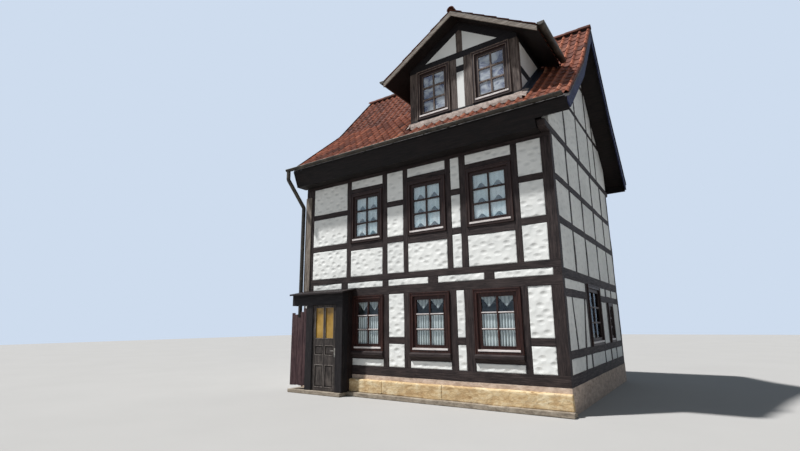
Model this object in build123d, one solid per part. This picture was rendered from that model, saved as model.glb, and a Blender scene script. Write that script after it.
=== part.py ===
"""A two-storey half timbered house with a tiled roof, a wide dormer and a boarded porch.

Lengths are in millimetres. While a piece is being made, x runs along the front from the left
end, y runs back from the front and z runs up from the underside of the sill beams. The finished
pieces are moved so that the origin lies on the ground at the centre of the footprint.
"""
from build123d import *
import os

# The whole house
width = 7500
depth = 6500
base_height = 520
wall = 180

# Timber frame: heights of the layers, from the sill up
sill_height = 230
ground_storey = 1800
plate_height = 210
joist_height = 160
upper_sill_height = 160
upper_storey = 2750
top_plate_height = 110
tie_height = 170

# Rails and window timbers, measured up from the foot of their storey
ground_rail_rise, ground_rail_height = 560, 160
ground_breast_rise, ground_breast_height = 170, 200
upper_rail_rise, upper_rail_height = 810, 160
upper_top_rail_rise, upper_top_rail_height = 1790, 150
upper_breast_rise, upper_breast_height = 730, 210
window_head_rise, window_head_height = 2370, 140

# Front posts: their left sides as shares of the width, and their widths
ground_post_shares = (0.0760, 0.2200, 0.3907, 0.4760, 0.6493, 0.7000, 0.8800)
ground_post_widths = (215, 250, 170, 180, 180, 230, 150)
upper_post_shares = (0.0000, 0.2200, 0.3867, 0.4773, 0.6467, 0.6987, 0.8760)
upper_post_widths = (330, 150, 160, 140, 150, 170, 150)
ground_corner_post = 250
upper_corner_post = 230

# Plaster panels between the timbers
plaster_setback = 6
plaster_depth = 140
plaster_bevel = 9

# Windows
casing_width = 92
casing_proud = 24
casing_depth = 90
sash_width = 88
sash_setback = 12
sash_depth = 46
glass_thickness = 6
glass_rebate = 10
sill_nose = 70
sill_lip = 30
sill_mould_rises = (30, 45, 90, 110)
sill_mould_shares = (0.00, 0.35, 0.60, 1.00)

# Foundation, stone courses and step
foundation_wall = 250
stone_rise = 100
stone_reach = 120
stone_round = 40
stone_joint_shares = (0.3933, 0.6200)
stone_gap = 6
kerb_height = 100
kerb_reach = 220
step_reach = 500
step_height = 90

# Floors
floor_board = 30
joist_shares = (0.1960, 0.3867, 0.5720, 0.7693)
joist_widths = (230, 190, 280, 250)
end_joist_width = 380
tie_width = 160
tie_count = 7
tie_reach = 340
tie_curve = 160
tie_nose = 40

# Main roof: the eave stands over the tie beams, and each pitch is a rise over a run
eave_reach = 540
eave_lift = 370
knee_back = 1500
sprocket_pitch = 0.857843
upper_pitch = 1.148571
cover_thickness = 120
course_length = 333
course_step = 28
verge_right = 600
verge_left = 70
rafter_width = 120
rafter_depth = 240
ridge_cap_radius = 120
ridge_cap_sink = 36
barge_thickness = 30
barge_height = 320
barge_tail = 150
barge_inset = 20
board_joint = 0.3

# Eave boards
soffit_board = 25
fascia_board = 28

# Gutters and downpipe
gutter_radius = 66
dormer_gutter_radius = 80
gutter_wall = 4
gutter_left = 290
gutter_right = 480
gutter_drop = 30
pipe_radius = 58
pipe_wall_gap = 15
pipe_bend = 120
pipe_inlet_inset = 80
pipe_neck_drop = 250
pipe_neck_length = 1050
pipe_foot_gap = 60

# Dormer: heights stand on the tie beams, post places are shares of its width
dormer_centre_share = 0.72
dormer_width = 3060
dormer_wall = 150
dormer_sill_rise = 1010
dormer_header_rise = 2410
dormer_header_height = 170
dormer_roof_lift = 81
dormer_post_shares = (0.0000, 0.4020, 0.5327)
dormer_post_widths = (230, 190, 220, 200)
dormer_rail_rise, dormer_rail_height = 1010, 170
dormer_overhang = 600
dormer_pitch = 0.62
dormer_cover = 140
dormer_verge = 400
dormer_rafter = 250
king_post_width = 180
cheek_plate_height = 160
cheek_rail_rise, cheek_rail_height = 1520, 190
cheek_wall = 140
dormer_barge_height = 125
dormer_barge_drop = 95

# Porch and front door
porch_reach = 430
porch_post_depth = 220
door_post_gap = 15
door_width = 875
door_thickness = 45
door_height = 2220
door_bottom = 95
door_setback = 35
door_gap = 7
side_board = 110
stop_width = 12
hood_reach = 560
hood_overlap = 110
hood_thickness = 45
hood_fall = 110
front_boarding = 28
boarding_foot = 80
boarding_left_top, boarding_dip_top, boarding_right_top = 1680, 1620, 1800
boarding_dip_share = 0.55
corner_board_width = 230
corner_board_depth = 28
corner_board_top = 5100

# Door panels, from the foot of the leaf
door_stile = 105
door_mullion = 60
door_rails = [(0, 85), (650, 250), (1150, 180), (2155, 65)]
panel_pocket = 17
panel_field_inset = 34
panel_field_rise = 12
panel_bevel = 11

# Hinges and handle
hinge_heights = (260, 1800)
pin_radius = 5
pin_clearance = 0.05
barrel_radius = 9
barrel_stand_off = 3
barrel_height = 55
socket_height = 30
hinge_strap = 100
hinge_plate = 5
strap_inset = 3
pin_short = 6
handle_rise = 1020
handle_inset = 55
handle_plate_width = 42
handle_plate_above, handle_plate_below = 69, 161
handle_plate_thickness = 4
handle_radius = 9
handle_neck = 7
handle_reach = 52
handle_length = 115
handle_round = 6

# Gable and rear
gable_rail_rise, gable_rail_height = 300, 170
gable_top_rail_rise, gable_top_rail_height = 1570, 170
gable_plate_height = 60
gable_ground_shares = (0.3077, 0.5538, 0.6846, 0.8154)
gable_ground_widths = (150, 100, 150, 120)
gable_upper_shares = (0.1923, 0.3846, 0.6000, 0.8077)
gable_upper_widths = (130, 120, 130, 130)
gable_top_shares = (0.4231, 0.6462)
gable_top_widths = (120, 120)
gable_collar_rises, gable_collar_height = (1230, 2620), 130
gable_post_width = 120
rear_bays = 6
rear_post_width = 160

# Leaning timbers of the gable: shares of their bay at the foot and at the head, and a thickness
low_prop_shares, low_prop_width = (0.648, 0.687), 110
brace_shares, brace_width = (0.330, 0.247), 100
high_prop_shares, high_prop_width = (0.714, 0.879), 130

# Levels worked out from the layers
ground_foot = sill_height
ground_head = ground_foot + ground_storey
joist_foot = ground_head + plate_height
joist_head = joist_foot + joist_height
upper_foot = joist_head + upper_sill_height
upper_head = upper_foot + upper_storey
tie_foot = upper_head + top_plate_height
tie_head = tie_foot + tie_height
floor_top = step_height - base_height
ridge_back = depth / 2
eave_rise = tie_head + eave_lift
knee_rise = eave_rise + sprocket_pitch * (knee_back + eave_reach)
ridge_rise = knee_rise + upper_pitch * (ridge_back - knee_back)
gutter_rim = eave_rise - gutter_drop
dormer_centre = width * dormer_centre_share
dormer_half_span = dormer_width / 2 + dormer_overhang
dormer_sill_top = tie_head + dormer_sill_rise
dormer_header_low = tie_head + dormer_header_rise
dormer_header_top = dormer_header_low + dormer_header_height
dormer_ridge_rise = dormer_header_top + dormer_roof_lift + dormer_pitch * dormer_width / 2
door_left = width * ground_post_shares[0] + ground_post_widths[0] + door_post_gap
door_right = door_left + door_width
porch_right = width * ground_post_shares[1] + ground_post_widths[1]


# Shapes that everything is made from

def block(x0, x1, y0, y1, z0, z1):
    """A squared piece between two corners."""
    return Pos(x0, y0, z0) * Box(x1 - x0, y1 - y0, z1 - z0, align=(Align.MIN, Align.MIN, Align.MIN))


def face_prism(corners, y, thick):
    """A flat piece seen from the front, with corners (x, z), from y backwards."""
    outline = Polyline([(x, y, z) for x, z in corners], close=True)
    return extrude(make_face(outline), amount=thick, dir=(0, 1, 0))


def side_prism(corners, x, thick):
    """A piece with a cross section of corners (y, z), from x to the right."""
    outline = Polyline([(x, y, z) for y, z in corners], close=True)
    return extrude(make_face(outline), amount=thick, dir=(1, 0, 0))


def plaster(corners):
    """A plaster panel with its front edges bevelled, between timbers."""
    panel = face_prism(corners, plaster_setback, plaster_depth)
    front_edges = panel.faces().sort_by(Axis.Y)[0].edges()
    return chamfer(front_edges, plaster_bevel)


def plaster_box(x0, x1, z0, z1):
    return plaster([(x0, z0), (x1, z0), (x1, z1), (x0, z1)])


def ring(x0, x1, z0, z1, border, y, thick):
    """A rectangular frame board with an opening."""
    outer = block(x0, x1, y, y + thick, z0, z1)
    return outer - block(x0 + border, x1 - border, y - 1, y + thick + 1, z0 + border, z1 - border)


def window(x0, x1, z0, z1):
    """A window frame that fills a bay, and its pane seated in the rebate."""
    casing = ring(x0, x1, z0, z1, casing_width, -casing_proud, casing_depth)
    inner = casing_width + sash_width
    sash = ring(x0 + casing_width, x1 - casing_width, z0 + casing_width, z1 - casing_width,
                sash_width, sash_setback, sash_depth)
    pane_y = sash_setback + sash_depth / 2
    reach = inner - glass_rebate
    pane = block(x0 + reach, x1 - reach, pane_y, pane_y + glass_thickness, z0 + reach, z1 - reach)
    pocket = block(x0 + reach, x1 - reach, pane_y, sash_setback + sash_depth, z0 + reach, z1 - reach)
    return casing + sash - pocket, pane


def to_gable(piece):
    """Turn a piece made as a front wall so that it stands in the right gable."""
    return Location((width, 0, 0), (0, 0, 90)) * piece


def to_rear(piece):
    """Turn a piece made as a front wall so that it stands in the rear wall."""
    return Location((width, depth, 0), (0, 0, 180)) * piece


def mirror_rear(piece):
    """The same piece on the other side of the ridge."""
    return mirror(piece, about=Plane.XZ.offset(-ridge_back))


# The main roof as an outline in y and z

def cover_top(y):
    """Height of the tiled surface at a distance back from the front, up to the ridge."""
    if y < knee_back:
        return knee_rise - (knee_back - y) * sprocket_pitch
    return knee_rise + (y - knee_back) * upper_pitch


def cover_bends():
    """Where the front slope starts, bends and ends."""
    return [(-eave_reach, eave_rise), (knee_back, knee_rise), (ridge_back, ridge_rise)]


def cover_courses():
    """Points up the front slope, stepped at the foot of each course of tiles."""
    points = []
    for (y0, z0), (y1, z1) in zip(cover_bends(), cover_bends()[1:]):
        count = round(Vector(y1 - y0, z1 - z0).length / course_length)
        run, rise = (y1 - y0) / count, (z1 - z0) / count
        for n in range(count):
            points.append((y0 + n * run, z0 + n * rise + course_step))
            points.append((y0 + (n + 1) * run, z0 + (n + 1) * rise))
    return points


def cover_underside():
    """Points along the underside of the roof covering, from front eave to rear eave."""
    points = [(y, z - cover_thickness) for y, z in cover_bends()]
    return points + [(depth - y, z) for y, z in reversed(points[:-1])]


def under_roof():
    """Everything below the roof covering, in the gable wall's own coordinates."""
    low = -base_height
    return face_prism([(-eave_reach, low)] + cover_underside() + [(depth + eave_reach, low)], -1, wall + 2)


def roof_outline():
    """Everything below the tiled surface, as a solid wider than the dormer."""
    low = eave_rise - 2 * cover_thickness
    return side_prism([(-eave_reach, low)] + cover_courses() + [(ridge_back, low)], -width, 3 * width)


# Foundation and stonework

def placed(shares, widths, length):
    """Left and right side of timbers that stand at shares of a length."""
    return [(share * length, share * length + across) for share, across in zip(shares, widths)]


def door_opening():
    """Left and right side of the doorway through the front wall."""
    hinge_post, lock_post = placed(ground_post_shares, ground_post_widths, width)[:2]
    return hinge_post[1], lock_post[0]


def foundation_long_walls():
    """Front wall, open at the doorway, and rear wall."""
    left, right = door_opening()
    return [block(0, left, 0, foundation_wall, -base_height, 0),
            block(right, width, 0, foundation_wall, -base_height, 0),
            block(0, width, depth - foundation_wall, depth, -base_height, 0)]


def foundation_short_walls():
    side = block(0, foundation_wall, foundation_wall, depth - foundation_wall, -base_height, 0)
    return [side, Pos(width - foundation_wall, 0, 0) * side]


def plinth_stones():
    """Dressed blocks with a rounded top edge, standing on the kerb."""
    ends = [porch_right] + [share * width for share in stone_joint_shares] + [width + stone_reach / 4]
    stones = []
    for left, right in zip(ends, ends[1:]):
        stone = block(left + stone_gap / 2, right - stone_gap / 2, -stone_reach, 0,
                      kerb_height - base_height, -stone_rise)
        edge = stone.edges().filter_by(Axis.X).group_by(Axis.Z)[-1].sort_by(Axis.Y)[0]
        stones.append(fillet(edge, stone_round))
    return stones


def kerb_course():
    return [block(porch_right, width + stone_reach / 2, -kerb_reach, 0,
                  -base_height, kerb_height - base_height)]


def doorstep():
    return [block(0, porch_right, -step_reach, 0, -base_height, floor_top)]


def ground_floor():
    """Slab between the foundation walls, with a tongue through the doorway."""
    left, right = door_opening()
    slab = block(foundation_wall, width - foundation_wall, foundation_wall, depth - foundation_wall,
                 -base_height, floor_top)
    return [slab + block(left, right, 0, foundation_wall, -base_height, floor_top)]


# Floors and roof timbers

def joist_spans():
    """Left and right side of each joist; the last one closes the gable."""
    return placed(joist_shares, joist_widths, width) + [(width - wall, width)]


def floor_joists():
    return [block(x0, x1, 0, depth, joist_foot, joist_head) for x0, x1 in joist_spans()]


def upper_floor():
    return [block(wall, width - wall, wall, depth - wall, joist_head, joist_head + floor_board)]


def tie_places():
    """Left side of each tie beam, from the party wall to the gable."""
    span = width - wall - tie_width
    return [wall + i * (span - wall) / (tie_count - 1) for i in range(tie_count - 1)]


def gable_tie():
    """The tie beam in the gable, with its ends rounded off below."""
    y0, y1 = -tie_reach, depth + tie_reach
    nose = tie_head - tie_nose
    drop = nose - tie_foot
    radius = (tie_curve ** 2 + drop ** 2) / (2 * drop)
    low = Line((y0 + tie_curve, tie_foot), (y1 - tie_curve, tie_foot))
    rear = RadiusArc((y1 - tie_curve, tie_foot), (y1, nose), -radius)
    top = Polyline([(y1, nose), (y1, tie_head), (y0, tie_head), (y0, nose)])
    front = RadiusArc((y0, nose), (y0 + tie_curve, tie_foot), -radius)
    outline = make_face(low + rear + top + front)
    return extrude(Plane.YZ.offset(width - wall) * outline, amount=wall)


def tie_beams():
    plain = [block(x, x + tie_width, -tie_reach, depth + tie_reach, tie_foot, tie_head) for x in tie_places()]
    return plain + [gable_tie()]


def attic_floor():
    return [block(wall, width - wall, wall, depth - wall, tie_head, tie_head + floor_board)]


def rafter_foot():
    """Where the top of a rafter meets its tie beam."""
    return ridge_back - (ridge_rise - cover_thickness - tie_head) / upper_pitch


def rafter():
    """One straight rafter from the end of its tie beam to the ridge, at x = 0."""
    top_ridge = ridge_rise - cover_thickness
    foot = rafter_foot()
    heel = foot + rafter_depth / upper_pitch
    head = ridge_back - board_joint / 2
    top = top_ridge - board_joint / 2 * upper_pitch
    corners = [(foot, tie_head), (heel, tie_head), (head, top - rafter_depth), (head, top)]
    return side_prism(corners, 0, rafter_width)


def sprocket():
    """The wedge that lifts the eave off a rafter's foot, at x = 0."""
    corners = [(rafter_foot(), tie_head), (-tie_reach, tie_head),
               (-tie_reach, cover_top(-tie_reach) - cover_thickness),
               (knee_back, knee_rise - cover_thickness)]
    return side_prism(corners, 0, rafter_width)


def dormer_hole():
    """The room taken out of the roof behind the dormer's front."""
    left, right = dormer_sides()
    return block(left + cheek_wall, right - cheek_wall, dormer_wall, knee_back, tie_head + floor_board + 1,
                 ridge_rise)


def roof_pairs(member):
    """A member set over every tie beam on both slopes, cut away inside the dormer."""
    inset = (tie_width - rafter_width) / 2
    front = [Pos(x + inset, 0, 0) * member for x in tie_places()]
    cut = [solid for piece in front for solid in (piece - dormer_hole()).solids()]
    return cut + [mirror_rear(piece) for piece in front]


def rafters():
    return roof_pairs(rafter())


def sprockets():
    return roof_pairs(sprocket())


def roof_slope():
    """Tile courses and boarding of the front slope, bent at the knee."""
    under = [(y, z - cover_thickness) for y, z in reversed(cover_bends())]
    return side_prism(cover_courses() + under, -verge_left, width + verge_left + verge_right)


def roof_front():
    return [roof_slope() - dormer_hole()]


def roof_rear():
    return [mirror_rear(roof_slope())]


def ridge_cap():
    """Half-round capping seated over both slopes."""
    centre_z = ridge_rise - ridge_cap_sink
    roll = Pos(-verge_left, ridge_back, centre_z) * Rot(0, 90, 0) * Cylinder(
        ridge_cap_radius, width + verge_left + verge_right, align=(Align.CENTER, Align.CENTER, Align.MIN))
    front = roof_outline()
    return [roll - front - mirror_rear(front)]


def barge_left():
    """Inner face of the verge boards."""
    return width + verge_right - barge_inset - barge_thickness


def barge_half():
    """Verge boards of one slope, jointed at the knee."""
    joint = knee_back - board_joint
    peak = ridge_back - board_joint
    drop = cover_thickness
    low = drop + barge_height
    lower = [(-eave_reach, eave_rise - drop), (-eave_reach, eave_rise - drop - barge_height + barge_tail),
             (barge_tail - eave_reach, cover_top(barge_tail - eave_reach) - low),
             (joint, cover_top(joint) - low), (joint, cover_top(joint) - drop)]
    upper = [(knee_back, knee_rise - drop), (knee_back, knee_rise - low),
             (peak, cover_top(peak) - low), (peak, cover_top(peak) - drop)]
    return [side_prism(board, barge_left(), barge_thickness) for board in (lower, upper)]


def barge_boards():
    half = barge_half()
    return half + [mirror_rear(board) for board in half]


def eave_board_back(z):
    """Inner face of the leaning eave board at a height."""
    foot, head = (-tie_reach, tie_foot), (fascia_board - eave_reach, eave_rise - cover_thickness)
    return foot[0] + (z - foot[1]) * (head[0] - foot[0]) / (head[1] - foot[1])


def eave_board(low, left, right):
    """A leaning board from a height up to the covering."""
    high = eave_rise - cover_thickness
    corners = [(eave_board_back(low), low), (eave_board_back(high), high),
               (eave_board_back(high) - fascia_board, high), (eave_board_back(low) - fascia_board, low)]
    return side_prism(corners, left, right - left)


def eave_cornices():
    """Flat soffits and leaning boards under both eaves; past the gable only the upper boards run on."""
    gable_joint = width - wall
    soffit = block(-verge_left, gable_joint, -tie_reach - fascia_board, 0, tie_foot - soffit_board, tie_foot)
    boxing = soffit + eave_board(tie_foot, -verge_left, gable_joint)
    boxing += eave_board(tie_head, gable_joint, barge_left())
    return [boxing, mirror_rear(boxing)]


def half_pipe(length, radius):
    """A half-round trough along x, open upwards, with its rim at z = 0."""
    outer = Rot(0, 90, 0) * Cylinder(radius, length, align=(Align.CENTER, Align.CENTER, Align.MIN))
    inner = Pos(gutter_wall, 0, 0) * Rot(0, 90, 0) * Cylinder(
        radius - gutter_wall, length - 2 * gutter_wall, align=(Align.CENTER, Align.CENTER, Align.MIN))
    top = block(-1, length + 1, -2 * radius, 2 * radius, 0, 2 * radius)
    return outer - inner - top


def gutters():
    """Troughs along both main eaves and both eaves of the dormer."""
    length = gutter_left + width + gutter_right
    front = Pos(-gutter_left, -eave_reach - gutter_radius, gutter_rim) * half_pipe(length, gutter_radius)
    edge = dormer_edge_height()
    back = dormer_gutter_back()
    along = Rot(0, 0, 90) * half_pipe(dormer_verge + back, dormer_gutter_radius)
    side = dormer_half_span + dormer_gutter_radius
    left = Pos(dormer_centre - side, -dormer_verge, edge) * along
    right = Pos(dormer_centre + side, -dormer_verge, edge) * along
    return [front, mirror_rear(front), left, right]


def downpipe():
    """Swan neck from the left end of the front gutter and a pipe down the corner."""
    start_y = -eave_reach - gutter_radius
    x_top = pipe_inlet_inset - gutter_left
    x_low = -pipe_radius - pipe_wall_gap
    y_low = -pipe_radius
    outlet = gutter_rim - gutter_radius
    route = [(x_top, start_y, outlet), (x_top, start_y, outlet - pipe_neck_drop),
             (x_low, y_low, outlet - pipe_neck_length), (x_low, y_low, floor_top + pipe_foot_gap)]
    path = FilletPolyline(*route, radius=pipe_bend)
    return [sweep(Plane(origin=path @ 0, z_dir=path % 0) * Circle(pipe_radius), path=path)]


# Timber walls: each one is made as a front wall and turned into place

def ground_spans():
    """Left and right side of each post below, with the corner post last."""
    return placed(ground_post_shares, ground_post_widths, width) + [(width - ground_corner_post, width)]


def upper_spans():
    """Left and right side of each post above, with the corner post last."""
    return placed(upper_post_shares, upper_post_widths, width) + [(width - upper_corner_post, width)]


def front_window_bays(spans):
    """Every other bay of the front has a window."""
    return range(1, len(spans) - 1, 2)


def bays(spans):
    """The clear space between each upright and the next."""
    return [(a[1], b[0]) for a, b in zip(spans, spans[1:])]


def rail_stack(x0, x1, foot, head, rails):
    """Rails between two uprights, and the plaster panels that they leave."""
    timbers = [block(x0, x1, 0, wall, z0, z1) for z0, z1 in rails]
    edges = [foot] + [z for rail in rails for z in rail] + [head]
    panels = [plaster_box(x0, x1, z0, z1) for z0, z1 in zip(edges[::2], edges[1::2]) if z1 - z0 > 1]
    return timbers, panels


def ground_rails():
    low = ground_foot + ground_rail_rise
    return [(low, low + ground_rail_height)]


def upper_rails():
    low = upper_foot + upper_rail_rise
    high = upper_foot + upper_top_rail_rise
    return [(low, low + upper_rail_height), (high, high + upper_top_rail_height)]


def ground_window_span():
    """Sill timber and window height in the ground storey."""
    low = ground_foot + ground_breast_rise
    return (low, low + ground_breast_height), (low + ground_breast_height, ground_head)


def upper_window_span():
    """Sill timber, window and head timber in the upper storey."""
    low = upper_foot + upper_breast_rise
    head = upper_foot + window_head_rise
    breast = low + upper_breast_height
    return (low, breast), (breast, head), (head, head + window_head_height)


def window_bay(x0, x1, ground):
    """One bay with a window: its timbers, its panels, its frame and its pane."""
    if ground:
        breast, light = ground_window_span()
        timbers = [block(x0, x1, 0, wall, *breast)]
        panels = [plaster_box(x0, x1, ground_foot, breast[0])]
    else:
        breast, light, head = upper_window_span()
        timbers = [block(x0, x1, 0, wall, *breast), block(x0, x1, 0, wall, *head)]
        panels = [plaster_box(x0, x1, upper_foot, breast[0]), plaster_box(x0, x1, head[1], upper_head)]
    frame, pane = window(x0, x1, *light)
    return timbers, panels, frame, pane


def storey_wall(spans, window_bays, ground, skip=()):
    """Everything between the uprights of one storey."""
    rails, panels, frames, panes = [], [], [], []
    foot, head = (ground_foot, ground_head) if ground else (upper_foot, upper_head)
    for number, (x0, x1) in enumerate(bays(spans)):
        if number in skip:
            continue
        if number in window_bays:
            timbers, fills, frame, pane = window_bay(x0, x1, ground)
            frames.append(frame)
            panes.append(pane)
        else:
            timbers, fills = rail_stack(x0, x1, foot, head, ground_rails() if ground else upper_rails())
        rails += timbers
        panels += fills
    return rails, panels, frames, panes


def uprights(spans, foot, head):
    return [block(x0, x1, 0, wall, foot, head) for x0, x1 in spans]


def joist_panels():
    """Plaster between the joist ends."""
    spans = [(0, end_joist_width)] + joist_spans()
    return [plaster_box(x0, x1, joist_foot, joist_head) for x0, x1 in bays(spans)]


def front_beams():
    """Sill, plate, upper sill and top plate of the front."""
    left, right = door_opening()
    sills = [block(0, left, 0, wall, 0, sill_height), block(right, width, 0, wall, 0, sill_height)]
    return sills + [block(0, width, 0, wall, ground_head, joist_foot),
                    block(0, width, 0, wall, joist_head, upper_foot),
                    block(0, width, 0, wall, upper_head, tie_foot)]


def front_storeys():
    ground = storey_wall(ground_spans(), front_window_bays(ground_spans()), True, skip=(0,))
    upper = storey_wall(upper_spans(), front_window_bays(upper_spans()), False)
    side_panel = plaster_box(0, ground_spans()[0][0], ground_foot, ground_head)
    joist_block = block(0, end_joist_width, 0, wall, joist_foot, joist_head)
    rails = ground[0] + upper[0] + [joist_block]
    infill = ground[1] + upper[1] + [side_panel] + joist_panels()
    return rails, infill, ground[2], upper[2], ground[3] + upper[3]


def front_posts():
    ground = uprights(ground_spans(), ground_foot, ground_head)
    return ground + uprights(upper_spans(), upper_foot, upper_head)


def front_window_sills():
    """Moulded sill boards under the ground-floor windows."""
    spans = bays(ground_spans())
    (low, high), _ = ground_window_span()
    mould = [(-sill_nose * share, low + rise) for share, rise in zip(sill_mould_shares, sill_mould_rises)]
    nose = mould + [(-sill_nose, high - sill_lip), (-casing_proud, high), (0, high)]
    windows = [spans[n] for n in front_window_bays(ground_spans())]
    return [side_prism(nose, left, right - left) for left, right in windows]


# Right gable

def gable_span(shares, widths):
    """Uprights between the front and rear walls."""
    return [(wall, wall)] + placed(shares, widths, depth) + [(depth - wall, depth - wall)]


def gable_beams():
    """Sill and the plank under the edge joist."""
    return [to_gable(block(wall, depth - wall, 0, wall, 0, sill_height)),
            to_gable(block(wall, depth - wall, 0, wall, joist_foot - gable_plate_height, joist_foot))]


def gable_top_spans():
    """Uprights above the tie beam, with one under each knee of the roof."""
    front = (knee_back - gable_post_width, knee_back)
    rear = (depth - knee_back, depth - knee_back + gable_post_width)
    return [front] + placed(gable_top_shares, gable_top_widths, depth) + [rear]


def gable_ground_head():
    return joist_foot - gable_plate_height


def gable_posts():
    ground_places = placed(gable_ground_shares, gable_ground_widths, depth)
    upper_places = placed(gable_upper_shares, gable_upper_widths, depth)
    ground = uprights(ground_places, ground_foot, gable_ground_head())
    upper = uprights(upper_places, joist_head, tie_foot)
    top = [(block(y0, y1, 0, wall, tie_head, ridge_rise) & under_roof()) for y0, y1 in gable_top_spans()]
    return [to_gable(piece) for piece in ground + upper + top]


def leaning_fill(left, right, low, high, members):
    """A band with leaning timbers, each with its foot and head as shares of the bay, and a thickness."""
    timbers, panels = [], []
    edge_low, edge_high = left, left
    for shares, thick in members:
        foot, head = [left + share * (right - left) for share in shares]
        sides = [(foot, low), (foot + thick, low), (head + thick, high), (head, high)]
        timbers.append(face_prism(sides, 0, wall))
        panels.append(plaster([(edge_low, low), (foot, low), (head, high), (edge_high, high)]))
        edge_low, edge_high = foot + thick, head + thick
    panels.append(plaster([(edge_low, low), (right, low), (right, high), (edge_high, high)]))
    return timbers, panels


def gable_ground_walls():
    """Rails, panels, frames and panes of the gable's ground storey."""
    spans = bays(gable_span(gable_ground_shares, gable_ground_widths))
    low = ground_foot + gable_rail_rise
    band = low + gable_rail_height
    high = ground_foot + gable_top_rail_rise
    top = high + gable_top_rail_height
    head = gable_ground_head()
    rails, panels, frames, panes = [], [], [], []
    for number, (y0, y1) in enumerate(spans):
        rails.append(block(y0, y1, 0, wall, low, band))
        if number == 0:
            timbers, fills = leaning_fill(y0, y1, ground_foot, low, [(low_prop_shares, low_prop_width)])
            more_timbers, more_fills = leaning_fill(y0, y1, band, high, [(brace_shares, brace_width),
                                                                         (high_prop_shares, high_prop_width)])
            rails += timbers + more_timbers + [block(y0, y1, 0, wall, high, top)]
            panels += fills + more_fills + [plaster_box(y0, y1, top, head)]
            continue
        panels.append(plaster_box(y0, y1, ground_foot, low))
        if number == 1:
            frame, pane = window(y0, y1, band, head)
        elif number == 3:
            frame, pane = window(y0, y1, band, high)
            rails.append(block(y0, y1, 0, wall, high, top))
            panels.append(plaster_box(y0, y1, top, head))
        else:
            rails.append(block(y0, y1, 0, wall, high, top))
            panels += [plaster_box(y0, y1, band, high), plaster_box(y0, y1, top, head)]
            continue
        frames.append(frame)
        panes.append(pane)
    return rails, panels, frames, panes


def gable_upper_walls():
    rails, panels = [], []
    for y0, y1 in bays(gable_span(gable_upper_shares, gable_upper_widths)):
        timbers, fills = rail_stack(y0, y1, joist_head, tie_foot, upper_rails())
        rails += timbers
        panels += fills
    return rails, panels


def gable_top_panel(y0, y1, z0, z1):
    return block(y0, y1, plaster_setback, plaster_setback + plaster_depth, z0, z1)


def gable_top_walls():
    """Collar rails and panels that follow the underside of the roof."""
    rails, panels = [], []
    roof = under_roof()
    edges = [(-eave_reach, 0)] + gable_top_spans() + [(depth, depth + eave_reach)]
    for y0, y1 in bays(edges):
        nearest_ridge = min(max(y0, ridge_back), y1)
        peak = cover_top(min(nearest_ridge, depth - nearest_ridge)) - cover_thickness
        foot = tie_head
        for rise in gable_collar_rises:
            low = tie_head + rise
            if low < peak:
                rails.append(block(y0, y1, 0, wall, low, low + gable_collar_height) & roof)
                panels.append(gable_top_panel(y0, y1, foot, low) & roof)
                foot = low + gable_collar_height
        if foot < peak:
            panels.append(gable_top_panel(y0, y1, foot, ridge_rise) & roof)
    return rails, panels


def gable_parts():
    ground = gable_ground_walls()
    upper = gable_upper_walls()
    top = gable_top_walls()
    rails = [to_gable(piece) for piece in ground[0] + upper[0] + top[0]]
    infill = [to_gable(piece) for piece in ground[1] + upper[1] + top[1]]
    return rails, infill, [to_gable(piece) for piece in ground[2]], [to_gable(piece) for piece in ground[3]]


# Rear wall and party wall

def rear_spans():
    pitch = (width - rear_post_width) / rear_bays
    return [(n * pitch, n * pitch + rear_post_width) for n in range(rear_bays + 1)]


def rear_beams():
    return [to_rear(block(0, width, 0, wall, 0, sill_height)),
            to_rear(block(0, width, 0, wall, ground_head, joist_foot)),
            to_rear(block(0, width, 0, wall, joist_head, upper_foot)),
            to_rear(block(0, width, 0, wall, upper_head, tie_foot))]


def rear_posts():
    pieces = uprights(rear_spans(), ground_foot, ground_head) + uprights(rear_spans(), upper_foot, upper_head)
    return [to_rear(piece) for piece in pieces]


def rear_joist_panels():
    spans = [(0, end_joist_width)] + joist_spans()
    panels = []
    for x0, x1 in bays(spans):
        panels.append(to_rear(plaster_box(width - x1, width - x0, joist_foot, joist_head)))
    return panels


def rear_parts():
    window_bays = (1, rear_bays - 2)
    ground = storey_wall(rear_spans(), window_bays, True)
    upper = storey_wall(rear_spans(), window_bays, False)
    corner = block(width - end_joist_width, width, 0, wall, joist_foot, joist_head)
    rails = [to_rear(piece) for piece in ground[0] + upper[0] + [corner]]
    infill = [to_rear(piece) for piece in ground[1] + upper[1]] + rear_joist_panels()
    frames = [to_rear(piece) for piece in ground[2] + upper[2]]
    panes = [to_rear(piece) for piece in ground[3] + upper[3]]
    return rails, infill, frames, panes


def party_wall():
    """Plain wall at the left end, up to the roof covering."""
    roof = Pos(wall, 0, 0) * Rot(0, 0, 90) * under_roof()
    edges = [0, knee_back, depth - knee_back, depth]
    pieces = [block(0, wall, wall, depth - wall, 0, tie_foot - board_joint)]
    for number, (y0, y1) in enumerate(zip(edges, edges[1:])):
        gap = board_joint if number else 0
        pieces.append(block(0, wall, y0 + gap, y1, tie_foot, ridge_rise) & roof)
    return pieces


# Dormer

def dormer_sides():
    return dormer_centre - dormer_width / 2, dormer_centre + dormer_width / 2


def dormer_edge_height():
    """Height of the dormer's tiled surface at its eaves."""
    return dormer_ridge_rise - dormer_half_span * dormer_pitch


def dormer_gutter_back():
    """Where a dormer eave runs into the main roof."""
    level = dormer_edge_height() - dormer_gutter_radius
    back = knee_back + (level - knee_rise) / upper_pitch
    if level < knee_rise:
        back = knee_back - (knee_rise - level) / sprocket_pitch
    return back - dormer_gutter_radius


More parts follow.
